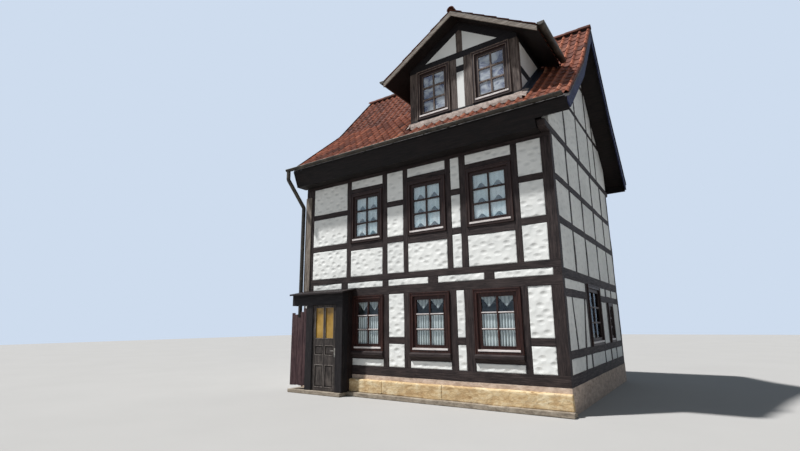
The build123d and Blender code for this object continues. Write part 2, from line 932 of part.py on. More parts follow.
def dormer_under(drop=0):
    """Everything below the dormer's roof boards, lowered by a drop."""
    eave = dormer_edge_height() - dormer_cover - drop
    apex = dormer_ridge_rise - dormer_cover - drop
    left, right = dormer_centre - dormer_half_span, dormer_centre + dormer_half_span
    corners = [(left, tie_foot), (right, tie_foot), (right, eave), (dormer_centre, apex), (left, eave)]
    return face_prism(corners, -dormer_verge, ridge_back + dormer_verge)


def dormer_post_spans():
    left, right = dormer_sides()
    posts = placed(dormer_post_shares, dormer_post_widths, dormer_width)
    return [(left + x0, left + x1) for x0, x1 in posts] + [(right - dormer_post_widths[-1], right)]


def dormer_sill():
    left, right = dormer_sides()
    return block(left, right, 0, dormer_wall, cover_top(0), dormer_sill_top) - roof_outline()


def dormer_king():
    """Left and right side of the king post."""
    return dormer_centre - king_post_width / 2, dormer_centre + king_post_width / 2


def dormer_posts_and_king():
    posts = [block(x0, x1, 0, dormer_wall, dormer_sill_top, dormer_header_low)
             for x0, x1 in dormer_post_spans()]
    king = block(*dormer_king(), 0, dormer_wall, dormer_header_top, dormer_ridge_rise)
    return posts + [king & dormer_under(dormer_rafter)]


def dormer_beams():
    """Sill, header and the rail between the two middle posts."""
    left, right = dormer_sides()
    header = block(left, right, 0, dormer_wall, dormer_header_low, dormer_header_top) & dormer_under()
    x0, x1 = bays(dormer_post_spans())[1]
    low = dormer_sill_top + dormer_rail_rise
    return [dormer_sill(), header, block(x0, x1, 0, dormer_wall, low, low + dormer_rail_height)]


def dormer_rafters():
    """The pair of rafters over the dormer's front."""
    left = dormer_sides()[0]
    band = block(left, dormer_centre - board_joint / 2, 0, dormer_wall, dormer_header_top, dormer_ridge_rise)
    half = (band & dormer_under()) - dormer_under(dormer_rafter)
    return [half, mirror(half, about=Plane.YZ.offset(dormer_centre))]


def dormer_infill():
    x0, x1 = bays(dormer_post_spans())[1]
    low = dormer_sill_top + dormer_rail_rise
    panels = [plaster_box(x0, x1, dormer_sill_top, low),
              plaster_box(x0, x1, low + dormer_rail_height, dormer_header_low)]
    left, right = dormer_sides()
    roof = dormer_under(dormer_rafter)
    king_left, king_right = dormer_king()
    for a, b in ((left, king_left), (king_right, right)):
        panels.append(block(a, b, plaster_setback, plaster_setback + plaster_depth, dormer_header_top,
                            dormer_ridge_rise) & roof)
    return panels


def dormer_windows():
    spans = bays(dormer_post_spans())
    pairs = [window(*spans[n], dormer_sill_top, dormer_header_low) for n in (0, 2)]
    return [frame for frame, _ in pairs], [pane for _, pane in pairs]


def cheek_plate_low():
    edge = dormer_ridge_rise - dormer_cover - dormer_width / 2 * dormer_pitch
    return edge - cheek_plate_height


def cheek_band(inset, low, high):
    """A level band of both cheeks, from the front posts back to the tiles."""
    left = dormer_sides()[0]
    band = block(left + inset, left + cheek_wall, dormer_wall, ridge_back, low, high) - roof_outline()
    return [band, mirror(band, about=Plane.YZ.offset(dormer_centre))]


def cheek_rails():
    low = tie_head + cheek_rail_rise
    return cheek_band(0, low, low + cheek_rail_height)


def cheek_plates():
    """Plates that carry the dormer's eaves, running back into the main roof."""
    return [plate & dormer_under() for plate in cheek_band(0, cheek_plate_low(), dormer_ridge_rise)]


def dormer_cheeks():
    """Side walls of the dormer, below and above their rails."""
    rail = tie_head + cheek_rail_rise
    return (cheek_band(plaster_setback, cover_top(0), rail)
            + cheek_band(plaster_setback, rail + cheek_rail_height, cheek_plate_low()))


def dormer_slope_section():
    """Cross section of the dormer's roof, from eave to eave."""
    eave = dormer_edge_height()
    left, right = dormer_centre - dormer_half_span, dormer_centre + dormer_half_span
    top = [(left, eave), (dormer_centre, dormer_ridge_rise), (right, eave)]
    return top + [(x, z - dormer_cover) for x, z in reversed(top)]


def dormer_roof():
    shell = face_prism(dormer_slope_section(), -dormer_verge, ridge_back + dormer_verge)
    return [shell - roof_outline()]


def dormer_barge_boards():
    """Boards on the dormer's front verge."""
    x0, x1 = dormer_centre - dormer_half_span, dormer_centre - board_joint / 2
    z0 = dormer_edge_height() - dormer_barge_drop
    z1 = z0 + (x1 - x0) * dormer_pitch
    corners = [(x0, z0), (x1, z1), (x1, z1 - dormer_barge_height), (x0, z0 - dormer_barge_height)]
    board = face_prism(corners, -dormer_verge - barge_thickness, barge_thickness)
    return [board, mirror(board, about=Plane.YZ.offset(dormer_centre))]


# Porch

def leaf_front():
    """Outer face of the door leaf."""
    return -porch_reach + door_setback


def leaf_foot():
    return -base_height + door_bottom + door_gap


def porch_head():
    """Underside of the beam over the door."""
    return leaf_foot() + door_height + door_gap


def porch_jambs():
    """Inner sides of the two porch posts, at the hinges and at the lock."""
    return door_left - 3 * door_gap, door_right + door_gap


def porch_posts():
    left, right = porch_jambs()
    y0, y1 = -porch_reach, -porch_reach + porch_post_depth
    return [block(ground_spans()[0][0], left, y0, y1, floor_top, porch_head()),
            block(right, porch_right, y0, y1, floor_top, porch_head())]


def hood_underside(y):
    """Height of the hood's underside at a distance in front of the wall."""
    return joist_foot - hood_fall - hood_thickness + (hood_reach + y) * hood_fall / hood_reach


def porch_head_beam():
    y0, y1 = -porch_reach, -porch_reach + porch_post_depth
    low = porch_head()
    corners = [(y0, low), (y1, low), (y1, hood_underside(y1)), (y0, hood_underside(y0))]
    return [side_prism(corners, 0, porch_right)]


def porch_sides():
    """Boarded sides of the porch, from its posts back to the house."""
    y0 = -porch_reach + porch_post_depth
    left = porch_jambs()[0]
    top = [(0, hood_underside(0)), (y0, hood_underside(y0))]
    outer = side_prism([(y0, floor_top), (0, floor_top)] + top, porch_right - side_board, side_board)
    inner = side_prism([(y0, floor_top), (0, floor_top)] + top, left - side_board, side_board)
    return [outer, inner]


def porch_boarding():
    """Upright boards left of the door, with a worn slanting top."""
    right = ground_spans()[0][0]
    low = floor_top + boarding_foot
    corners = [(0, low), (right, low), (right, boarding_right_top),
               (right * boarding_dip_share, boarding_dip_top), (0, boarding_left_top)]
    return [face_prism(corners, -porch_reach, front_boarding)]


def door_stops():
    """Strips that the closed leaf stands behind."""
    left, right = porch_jambs()
    y0 = -porch_reach
    y1 = leaf_front() - door_gap
    top = porch_head()
    lap = 3 * door_gap + stop_width
    return [block(left, left + lap, y0, y1, floor_top, top),
            block(right - stop_width, right, y0, y1, floor_top, top)]


def porch_hood():
    """Sloping board over the door."""
    low, high = hood_underside(-hood_reach), hood_underside(0)
    corners = [(-hood_reach, low), (0, high), (0, high + hood_thickness), (-hood_reach, low + hood_thickness)]
    return [side_prism(corners, 0, porch_right + hood_overlap)]


def corner_board():
    """Board up the left corner, above the hood."""
    return [block(0, corner_board_width, -corner_board_depth, 0, joist_foot, corner_board_top)]


# Front door

def door_openings():
    """Glazed and panelled fields of the leaf as (left, right, foot, head, glazed)."""
    half = (door_width - 2 * door_stile - door_mullion) / 2
    columns = [door_left + door_stile, door_left + door_stile + half + door_mullion]
    fields = []
    for (low, low_height), (high, _) in zip(door_rails, door_rails[1:]):
        foot, head = leaf_foot() + low + low_height, leaf_foot() + high
        fields += [(x, x + half, foot, head, high == door_rails[-1][0]) for x in columns]
    return fields


def raised_field(x0, x1, z0, z1):
    """A panel's raised middle, with sloping borders."""
    y = leaf_front() + panel_pocket
    base = block(x0 + panel_field_inset, x1 - panel_field_inset, y - panel_field_rise, y + 1,
                 z0 + panel_field_inset, z1 - panel_field_inset)
    front_edges = base.faces().sort_by(Axis.Y)[0].edges()
    return chamfer(front_edges, panel_bevel)


def front_door():
    """Panelled leaf with two glazed openings and hinge straps."""
    y0, y1 = leaf_front(), leaf_front() + door_thickness
    leaf = block(door_left, door_right, y0, y1, leaf_foot(), leaf_foot() + door_height)
    for x0, x1, z0, z1, glazed in door_openings():
        if glazed:
            leaf -= block(x0, x1, y0 - 1, y1 + 1, z0, z1)
            leaf -= block(x0 - glass_rebate, x1 + glass_rebate, y0 + door_thickness / 2, y1 + 1,
                          z0 - glass_rebate, z1 + glass_rebate)
        else:
            leaf -= block(x0, x1, y0 - 1, y0 + panel_pocket, z0, z1)
            leaf += raised_field(x0, x1, z0, z1)
    for rise in hinge_heights:
        leaf += hinge_leaf(rise)
    return [leaf - hinge_bores()]


def door_glass():
    y = leaf_front() + door_thickness / 2
    return [block(x0 - glass_rebate, x1 + glass_rebate, y, y + glass_thickness,
                  z0 - glass_rebate, z1 + glass_rebate)
            for x0, x1, z0, z1, glazed in door_openings() if glazed]


def hinge_axis():
    """Where the hinge pins stand, at the hinged edge of the leaf's inner face."""
    return door_left, leaf_front() + door_thickness + barrel_radius + barrel_stand_off


def upright_rod(radius, low, high):
    x, y = hinge_axis()
    return Pos(x, y, low) * Cylinder(radius, high - low, align=(Align.CENTER, Align.CENTER, Align.MIN))


def hinge_leaf(rise):
    """Barrel and strap on the leaf's inner face."""
    x, y = hinge_axis()
    low = leaf_foot() + rise + socket_height + board_joint
    barrel = upright_rod(barrel_radius, low, low + barrel_height)
    face = leaf_front() + door_thickness
    strap = block(x, x + hinge_strap, face - 1, face + hinge_plate, low + strap_inset,
                  low + barrel_height - strap_inset)
    return barrel + strap


def hinge_bores():
    rods = [upright_rod(pin_radius + pin_clearance, leaf_foot() + rise, leaf_foot() + rise + socket_height
                        + board_joint + barrel_height + 1) for rise in hinge_heights]
    return rods[0] + rods[1]


def hinge_pins():
    """Sockets with upright pins, fixed to the porch post."""
    x, y = hinge_axis()
    left = porch_jambs()[0]
    pieces = []
    for rise in hinge_heights:
        low = leaf_foot() + rise
        socket = upright_rod(barrel_radius, low, low + socket_height)
        pin = upright_rod(pin_radius, low, low + socket_height + barrel_height - pin_short)
        bracket = block(left, x, y - hinge_plate / 2, y + hinge_plate / 2, low, low + socket_height)
        pieces.append(socket + pin + bracket)
    return pieces


def handle_side():
    """Plate, neck and lever on the outer face of the leaf."""
    x = door_right - handle_inset
    y = leaf_front()
    z = leaf_foot() + handle_rise
    plate = block(x - handle_plate_width / 2, x + handle_plate_width / 2, y - handle_plate_thickness, y,
                  z - handle_plate_below, z + handle_plate_above)
    neck = Pos(x, y - handle_reach / 2, z) * Rot(90, 0, 0) * Cylinder(handle_neck, handle_reach)
    lever = Pos(x + handle_radius, y - handle_reach, z) * Rot(0, -90, 0) * Cylinder(
        handle_radius, handle_length, align=(Align.CENTER, Align.CENTER, Align.MIN))
    return plate + neck + fillet(lever.edges().sort_by(Axis.X)[0], handle_round)


def door_handles():
    outer = handle_side()
    middle = leaf_front() + door_thickness / 2
    return [outer, mirror(outer, about=Plane.XZ.offset(-middle))]


def all_nodes():
    """Every named piece of the house."""
    front_rails, front_infill, ground_frames, upper_frames, front_panes = front_storeys()
    gable_rails, gable_infill, gable_frames, gable_panes = gable_parts()
    rear_rails, rear_infill, rear_frames, rear_panes = rear_parts()
    dormer_frames, dormer_panes = dormer_windows()
    return {
        "foundation_long_walls": foundation_long_walls(),
        "foundation_short_walls": foundation_short_walls(),
        "plinth_stones": plinth_stones(),
        "kerb_course": kerb_course(),
        "doorstep": doorstep(),
        "ground_floor": ground_floor(),
        "floor_joists": floor_joists(),
        "upper_floor": upper_floor(),
        "tie_beams": tie_beams(),
        "attic_floor": attic_floor(),
        "front_beams": front_beams(),
        "front_posts": front_posts(),
        "front_rails": front_rails,
        "front_infill": front_infill,
        "ground_window_frames": ground_frames,
        "upper_window_frames": upper_frames + dormer_frames,
        "front_window_sills": front_window_sills(),
        "window_panes": front_panes + dormer_panes + gable_panes + rear_panes,
        "gable_beams": gable_beams(),
        "gable_posts": gable_posts(),
        "gable_rails": gable_rails,
        "gable_infill": gable_infill,
        "rear_beams": rear_beams(),
        "rear_posts": rear_posts(),
        "rear_rails": rear_rails,
        "rear_infill": rear_infill,
        "rear_window_frames": rear_frames + gable_frames,
        "party_wall": party_wall(),
        "rafters": rafters(),
        "sprockets": sprockets(),
        "roof_front": roof_front(),
        "roof_rear": roof_rear(),
        "ridge_capping": ridge_cap(),
        "barge_boards": barge_boards(),
        "eave_cornices": eave_cornices(),
        "gutters": gutters(),
        "downpipe": downpipe(),
        "dormer_posts": dormer_posts_and_king(),
        "dormer_beams": dormer_beams(),
        "dormer_rafters": dormer_rafters(),
        "dormer_infill": dormer_infill(),
        "cheek_plates": cheek_plates() + cheek_rails(),
        "dormer_cheeks": dormer_cheeks(),
        "dormer_roof": dormer_roof(),
        "dormer_barge_boards": dormer_barge_boards(),
        "porch_posts": porch_posts(),
        "porch_head_beam": porch_head_beam(),
        "porch_sides": porch_sides(),
        "porch_boarding": porch_boarding() + door_stops(),
        "porch_hood": porch_hood(),
        "corner_board": corner_board(),
        "front_door": front_door(),
        "door_glass": door_glass(),
        "hinge_pins": hinge_pins(),
        "door_handles": door_handles(),
    }


def write_nodes():
    """Put the origin on the ground at the centre of the footprint and write the files."""
    os.makedirs("parts", exist_ok=True)
    to_ground = Pos(-width / 2, -depth / 2, base_height)
    for name, pieces in all_nodes().items():
        solids = [solid for piece in pieces for solid in (to_ground * piece).solids()]
        export_step(Compound(solids), "parts/" + name + ".step")


write_nodes()
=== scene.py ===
"""Looks of a two-storey half timbered house: timbers, dabbed plaster, pantiles, windows and net curtains.

Places are in metres. Where a function says house coordinates, x runs from the left end along the front,
y runs back from the front and z runs up from the underside of the sill beams.
"""
import math
import bpy
import bmesh
import numpy as np
from mathutils import Matrix, Vector, noise


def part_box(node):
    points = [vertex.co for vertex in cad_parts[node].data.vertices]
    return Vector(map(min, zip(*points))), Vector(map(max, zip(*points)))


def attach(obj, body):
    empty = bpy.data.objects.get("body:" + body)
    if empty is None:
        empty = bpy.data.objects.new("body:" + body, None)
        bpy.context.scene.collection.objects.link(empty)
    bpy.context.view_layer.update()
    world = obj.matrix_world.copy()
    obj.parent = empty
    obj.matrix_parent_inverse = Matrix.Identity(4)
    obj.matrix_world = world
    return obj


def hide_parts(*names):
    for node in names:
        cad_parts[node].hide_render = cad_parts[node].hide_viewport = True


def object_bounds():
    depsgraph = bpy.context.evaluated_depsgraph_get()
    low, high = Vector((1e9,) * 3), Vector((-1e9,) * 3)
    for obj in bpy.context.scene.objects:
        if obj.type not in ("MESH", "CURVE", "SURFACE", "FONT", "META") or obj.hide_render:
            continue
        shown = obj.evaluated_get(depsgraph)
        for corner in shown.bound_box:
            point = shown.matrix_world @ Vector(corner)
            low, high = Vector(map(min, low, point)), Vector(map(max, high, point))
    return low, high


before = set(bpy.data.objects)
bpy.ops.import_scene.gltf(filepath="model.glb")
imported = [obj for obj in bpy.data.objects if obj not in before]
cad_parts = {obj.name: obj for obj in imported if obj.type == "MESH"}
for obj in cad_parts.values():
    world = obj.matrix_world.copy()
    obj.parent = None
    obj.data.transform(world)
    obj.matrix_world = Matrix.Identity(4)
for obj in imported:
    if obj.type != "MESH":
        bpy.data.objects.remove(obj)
cad_low, cad_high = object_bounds()
rng = np.random.default_rng(11)

# House coordinates of the roof, as distance back and height
EAVE = (-0.54, 5.96)
KNEE = (1.50, 7.71)
RIDGE = (3.25, 9.72)
DEPTH = 6.50
WIDTH = 7.50
VERGE_LEFT, VERGE_RIGHT = -0.07, 8.10
DORMER_CENTRE, DORMER_HALF, DORMER_WALL_HALF = 5.40, 2.13, 1.53
DORMER_RIDGE, DORMER_PITCH, DORMER_VERGE = 9.1996, 0.62, 0.40

# Tiles: width and length of what shows, height of the roll, drop from course to course, thickness of the
# lower edge, top of the roll over the slope, and how far the boarding lies below the CAD roof
TILE_WIDTH, TILE_REACH = 0.235, 0.335
TILE_RISE, TILE_STEP, TILE_EDGE, TILE_CREST = 0.058, 0.016, 0.018, 0.030
BOARDING_DROP = 0.060
TILES_LEFT, TILES_RIGHT = VERGE_LEFT + 0.012, VERGE_RIGHT - 0.016
RIDGE_TILE_REACH, RIDGE_TILE_RADIUS = 0.36, 0.10

# Gutters: radius, how far the rim lies under the eave line, and radius of the beads on the rims
GUTTER_RADIUS, GUTTER_DROP, BEAD_RADIUS = 0.066, 0.03, 0.008

# Trowel dabs: distance from dab to dab and from row to row
DAB_PITCH, DAB_ROW = 0.235, 0.205

# Windows: width of casing and sash, how far the sash lies back and the casing stands out, and the height over
# which a front window belongs to the dormer
CASING, SASH, SASH_BACK, PROUD = 0.092, 0.088, 0.012, 0.024
DORMER_FLOOR = 6.5

# Lamps: name, strength, angle of the sun in degrees, direction
LAMPS = (("key_light", 5.2, 2.5, (0.72, 0.67, -1.88)),
         ("fill_light", 0.12, 60, (-0.15, 1.0, -0.45)))
WORLD_COLOUR, WORLD_STRENGTH = (0.70, 0.84, 1.0, 1), 0.21
FLOOR_SIZE, FLOOR_DROP = 60, 0.002

# The camera of the photograph
CAMERA_PLACE = (6.179, -12.761, 1.791)
CAMERA_YAW, CAMERA_PITCH, CAMERA_ROLL = -34.148, 12.407, -0.653
CAMERA_LENS = 20.163

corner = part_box("front_beams")[0]


def at(x, y, z):
    """A place in house coordinates as a point of the frame."""
    return Vector((corner.x + x, corner.y + y, corner.z + z))


# Materials

def srgb(r, g, b):
    """A colour as it shows on screen, 0 to 255 a channel, in linear light."""
    return tuple(((c / 255 + 0.055) / 1.055) ** 2.4 for c in (r, g, b)) + (1.0,)


class Look:
    """A material with short calls for its nodes."""

    def __init__(self, name, roughness=0.8, specular=0.3, metallic=0.0):
        self.material = bpy.data.materials.new(name)
        self.material.use_nodes = True
        self.tree = self.material.node_tree
        self.shader = self.tree.nodes["Principled BSDF"]
        self.shader.inputs["Roughness"].default_value = roughness
        self.shader.inputs["Specular IOR Level"].default_value = specular
        self.shader.inputs["Metallic"].default_value = metallic

    def node(self, kind, **settings):
        made = self.tree.nodes.new(kind)
        for key, value in settings.items():
            setattr(made, key, value)
        return made

    def link(self, source, target):
        self.tree.links.new(source, target)

    def place(self, attribute=None, scale=(1, 1, 1), offset=(0, 0, 0)):
        """Coordinates in metres, from the object or from a named attribute of its mesh."""
        if attribute:
            source = self.node("ShaderNodeAttribute", attribute_name=attribute).outputs["Vector"]
        else:
            source = self.node("ShaderNodeTexCoord").outputs["Object"]
        mapping = self.node("ShaderNodeMapping")
        mapping.inputs["Scale"].default_value = scale
        mapping.inputs["Location"].default_value = offset
        self.link(source, mapping.inputs["Vector"])
        return mapping.outputs["Vector"]

    def value(self, attribute):
        """A number kept for each point of the mesh."""
        return self.node("ShaderNodeAttribute", attribute_name=attribute).outputs["Fac"]

    def noise(self, vector, scale, detail=4.0, roughness=0.55, distortion=0.0):
        made = self.node("ShaderNodeTexNoise")
        for key, value in (("Scale", scale), ("Detail", detail), ("Roughness", roughness),
                           ("Distortion", distortion)):
            made.inputs[key].default_value = value
        self.link(vector, made.inputs["Vector"])
        return made.outputs["Fac"]

    def cells(self, vector, scale, feature="F1"):
        made = self.node("ShaderNodeTexVoronoi", feature=feature)
        made.inputs["Scale"].default_value = scale
        self.link(vector, made.inputs["Vector"])
        return made.outputs["Distance"]

    def ramp(self, factor, stops):
        """Colours or grey values over a factor, as (position, colour) pairs."""
        made = self.node("ShaderNodeValToRGB")
        ramp = made.color_ramp
        while len(ramp.elements) < len(stops):
            ramp.elements.new(0.5)
        for element, (position, colour) in zip(ramp.elements, stops):
            element.position = position
            element.color = colour if hasattr(colour, "__len__") else (colour, colour, colour, 1)
        self.link(factor, made.inputs["Fac"])
        return made.outputs["Color"]

    def mix(self, factor, first, second, mode="MIX"):
        made = self.node("ShaderNodeMix", data_type="RGBA", blend_type=mode)
        for socket, value in (("Factor", factor), ("A", first), ("B", second)):
            found = [s for s in made.inputs if s.name == socket and s.enabled][0]
            if isinstance(value, bpy.types.NodeSocket):
                self.link(value, found)
            else:
                found.default_value = value
        return [s for s in made.outputs if s.enabled][0]

    def maths(self, operation, first, second=0.5):
        made = self.node("ShaderNodeMath", operation=operation)
        for socket, value in zip(made.inputs, (first, second)):
            if isinstance(value, bpy.types.NodeSocket):
                self.link(value, socket)
            else:
                socket.default_value = value
        return made.outputs[0]

    def inverse(self, value):
        return self.maths("SUBTRACT", 1.0, value)

    def separate(self, vector):
        """Outputs X, Y and Z of a vector."""
        made = self.node("ShaderNodeSeparateXYZ")
        self.link(vector, made.inputs[0])
        return made.outputs

    def bump(self, height, distance, strength=1.0, under=None):
        made = self.node("ShaderNodeBump")
        made.inputs["Strength"].default_value = strength
        made.inputs["Distance"].default_value = distance
        self.link(height, made.inputs["Height"])
        if under is not None:
            self.link(under, made.inputs["Normal"])
        return made.outputs["Normal"]

    def finish(self, colour, normal=None, roughness=None):
        self.link(colour, self.shader.inputs["Base Color"])
        if normal is not None:
            self.link(normal, self.shader.inputs["Normal"])
        if roughness is not None:
            self.link(roughness, self.shader.inputs["Roughness"])
        return self.material


def wood_look(name, deep, body, pale, grain="grain", worn=0.35, roughness=0.72):
    """Painted or weathered wood: streaks along the grain, checks, and patches rubbed pale."""
    deep, body, pale = (srgb(*tone) for tone in (deep, body, pale))
    stretch = {"grain": (0.7, 9, 9), "x": (0.7, 9, 9), "y": (9, 0.7, 9), "z": (9, 9, 0.7)}[grain]
    attribute = "grain" if grain == "grain" else None
    look = Look(name, roughness, 0.25)
    long_grain = look.place(attribute, stretch)
    streaks = look.noise(long_grain, 4.0, 7, 0.65, 0.3)
    fibres = look.noise(long_grain, 26.0, 4, 0.6)
    patches = look.noise(look.place(attribute), 1.7, 4, 0.6, 0.6)
    base = look.ramp(streaks, [(0.32, deep), (0.52, body), (0.74, pale)])
    rubbed = look.ramp(patches, [(0.48, 0.0), (0.72, worn)])
    colour = look.mix(rubbed, base, pale)
    checks = look.ramp(look.noise(long_grain, 9.0, 2, 0.4), [(0.34, 0.0), (0.40, 1.0)])
    colour = look.mix(look.maths("MULTIPLY", look.inverse(checks), 0.6), colour, deep)
    fine = look.bump(fibres, 0.0022, 0.7)
    normal = look.bump(checks, 0.004, 0.5, look.bump(streaks, 0.005, 0.6, fine))
    return look.finish(colour, normal, look.ramp(streaks, [(0.3, roughness + 0.1), (0.7, roughness - 0.06)]))


def plaster_look(name, dabbed):
    """Lime plaster over a wall in x or y. Where it is dabbed, slanting trowel dents hold a little grey, part
    dirt and part painted shade in the hollows.
    """
    look = Look(name, 0.9, 0.2)
    place = look.place()
    cloud = look.noise(place, 0.9, 5, 0.6)
    sand = look.noise(place, 90.0, 5, 0.7)
    brush = look.noise(look.place(None, (1, 1, 0.35)), 22.0, 4, 0.6, 0.8)
    colour = look.ramp(cloud, [(0.30, srgb(218, 219, 216)), (0.50, srgb(233, 233, 229)),
                               (0.70, srgb(241, 241, 237))])
    stain = look.ramp(look.noise(look.place(None, (2.2, 2.2, 0.5)), 1.6, 6, 0.7), [(0.58, 0.0), (0.82, 0.3)])
    colour = look.mix(stain, colour, srgb(196, 193, 182))
    normal = look.bump(brush, 0.004, 0.5, look.bump(sand, 0.0012, 0.5))
    if dabbed:
        split = look.separate(place)
        flat = look.node("ShaderNodeCombineXYZ")
        look.link(look.maths("ADD", split["X"], split["Y"]), flat.inputs["X"])
        look.link(split["Z"], flat.inputs["Y"])
        slant = look.node("ShaderNodeMapping")
        slant.inputs["Rotation"].default_value = (0, 0, math.radians(-32))
        slant.inputs["Scale"].default_value = (3.5, 5.6, 1)
        look.link(flat.outputs[0], slant.inputs["Vector"])
        cell = look.node("ShaderNodeTexVoronoi", feature="F1", voronoi_dimensions="2D")
        cell.inputs["Scale"].default_value = 1.0
        cell.inputs["Randomness"].default_value = 0.62
        look.link(slant.outputs[0], cell.inputs["Vector"])
        dents = look.ramp(cell.outputs["Distance"], [(0.0, 0.0), (0.14, 0.35), (0.34, 1.0)])
        # Grey in the dents: part dirt, part painted shade.
        dent_dirt_and_shade = look.maths("MULTIPLY", look.inverse(dents), 0.17)
        colour = look.mix(dent_dirt_and_shade, colour, srgb(158, 156, 150))
        normal = look.bump(dents, 0.018, 0.7, normal)
    return look.finish(colour, normal)


def tile_look():
    """Fired clay: each tile has its own tone, with soot, lichen and pale bloom over it; the pans are darker,
    part dirt and part painted shade, and the crests paler, partly as a painted highlight.
    """
    look = Look("clay_tiles", 0.78, 0.25)
    tone = look.value("tone")
    place = look.place()
    base = look.ramp(tone, [(0.0, srgb(74, 40, 30)), (0.22, srgb(112, 60, 44)), (0.5, srgb(152, 86, 62)),
                            (0.78, srgb(182, 110, 82)), (1.0, srgb(212, 150, 120))])
    # The pans darken towards their hollow: part dirt, part painted shade.
    pan_dirt_and_shade = look.ramp(look.value("crest"), [(0.0, 0.72), (0.35, 0.40), (0.75, 0.0)])
    colour = look.mix(pan_dirt_and_shade, base, srgb(66, 34, 25))
    soot = look.ramp(look.noise(place, 9.0, 5, 0.7), [(0.48, 0.0), (0.74, 0.5)])
    colour = look.mix(soot, colour, srgb(70, 44, 36))
    lichen = look.ramp(look.noise(place, 7.5, 5, 0.7, 0.5), [(0.60, 0.0), (0.72, 0.45)])
    colour = look.mix(look.maths("MULTIPLY", lichen, look.value("damp")), colour, srgb(120, 110, 72))
    # Pale bloom in patches, laid only on the roll crests, where it is also a painted highlight.
    bloom_and_crest_highlight = look.ramp(look.noise(place, 34.0, 4, 0.7), [(0.55, 0.0), (0.8, 0.3)])
    colour = look.mix(look.maths("MULTIPLY", bloom_and_crest_highlight, look.value("crest")), colour, srgb(226, 182, 156))
    normal = look.bump(look.noise(place, 60.0, 5, 0.7), 0.0025, 0.6)
    return look.finish(colour, normal)


def stone_look(name, deep, body, pale, scale=3.0, pits=0.006):
    deep, body, pale = (srgb(*tone) for tone in (deep, body, pale))
    look = Look(name, 0.88, 0.25)
    place = look.place()
    beds = look.noise(look.place(None, (1, 1, 3.2)), scale, 7, 0.68, 0.7)
    grit = look.noise(place, 55.0, 6, 0.75)
    holes = look.ramp(look.noise(place, 16.0, 5, 0.7), [(0.30, 0.0), (0.42, 1.0)])
    colour = look.ramp(beds, [(0.30, deep), (0.50, body), (0.72, pale)])
    colour = look.mix(look.maths("MULTIPLY", look.inverse(holes), 0.5), colour, deep)
    chips = look.noise(place, 6.5, 5, 0.62, 0.3)
    colour = look.mix(look.ramp(chips, [(0.38, 0.45), (0.52, 0.0)]), colour, deep)
    colour = look.mix(look.ramp(chips, [(0.56, 0.0), (0.72, 0.5)]), colour, pale)
    rough = look.bump(chips, pits * 3, 0.6, look.bump(beds, 0.012, 0.5))
    normal = look.bump(holes, pits, 0.6, look.bump(grit, 0.003, 0.7, rough))
    return look.finish(colour, normal)


def metal_look(name, deep, body, pale, roughness=0.55):
    deep, body, pale = (srgb(*tone) for tone in (deep, body, pale))
    look = Look(name, roughness, 0.4, 0.35)
    place = look.place()
    film = look.noise(place, 3.5, 6, 0.65, 0.4)
    runs = look.noise(look.place(None, (6, 6, 0.8)), 5.0, 4, 0.6)
    colour = look.ramp(film, [(0.32, deep), (0.52, body), (0.74, pale)])
    colour = look.mix(look.ramp(runs, [(0.5, 0.0), (0.8, 0.4)]), colour, deep)
    normal = look.bump(look.noise(place, 40.0, 3, 0.6), 0.001, 0.5)
    return look.finish(colour, normal, look.ramp(film, [(0.3, roughness - 0.12), (0.7, roughness + 0.18)]))


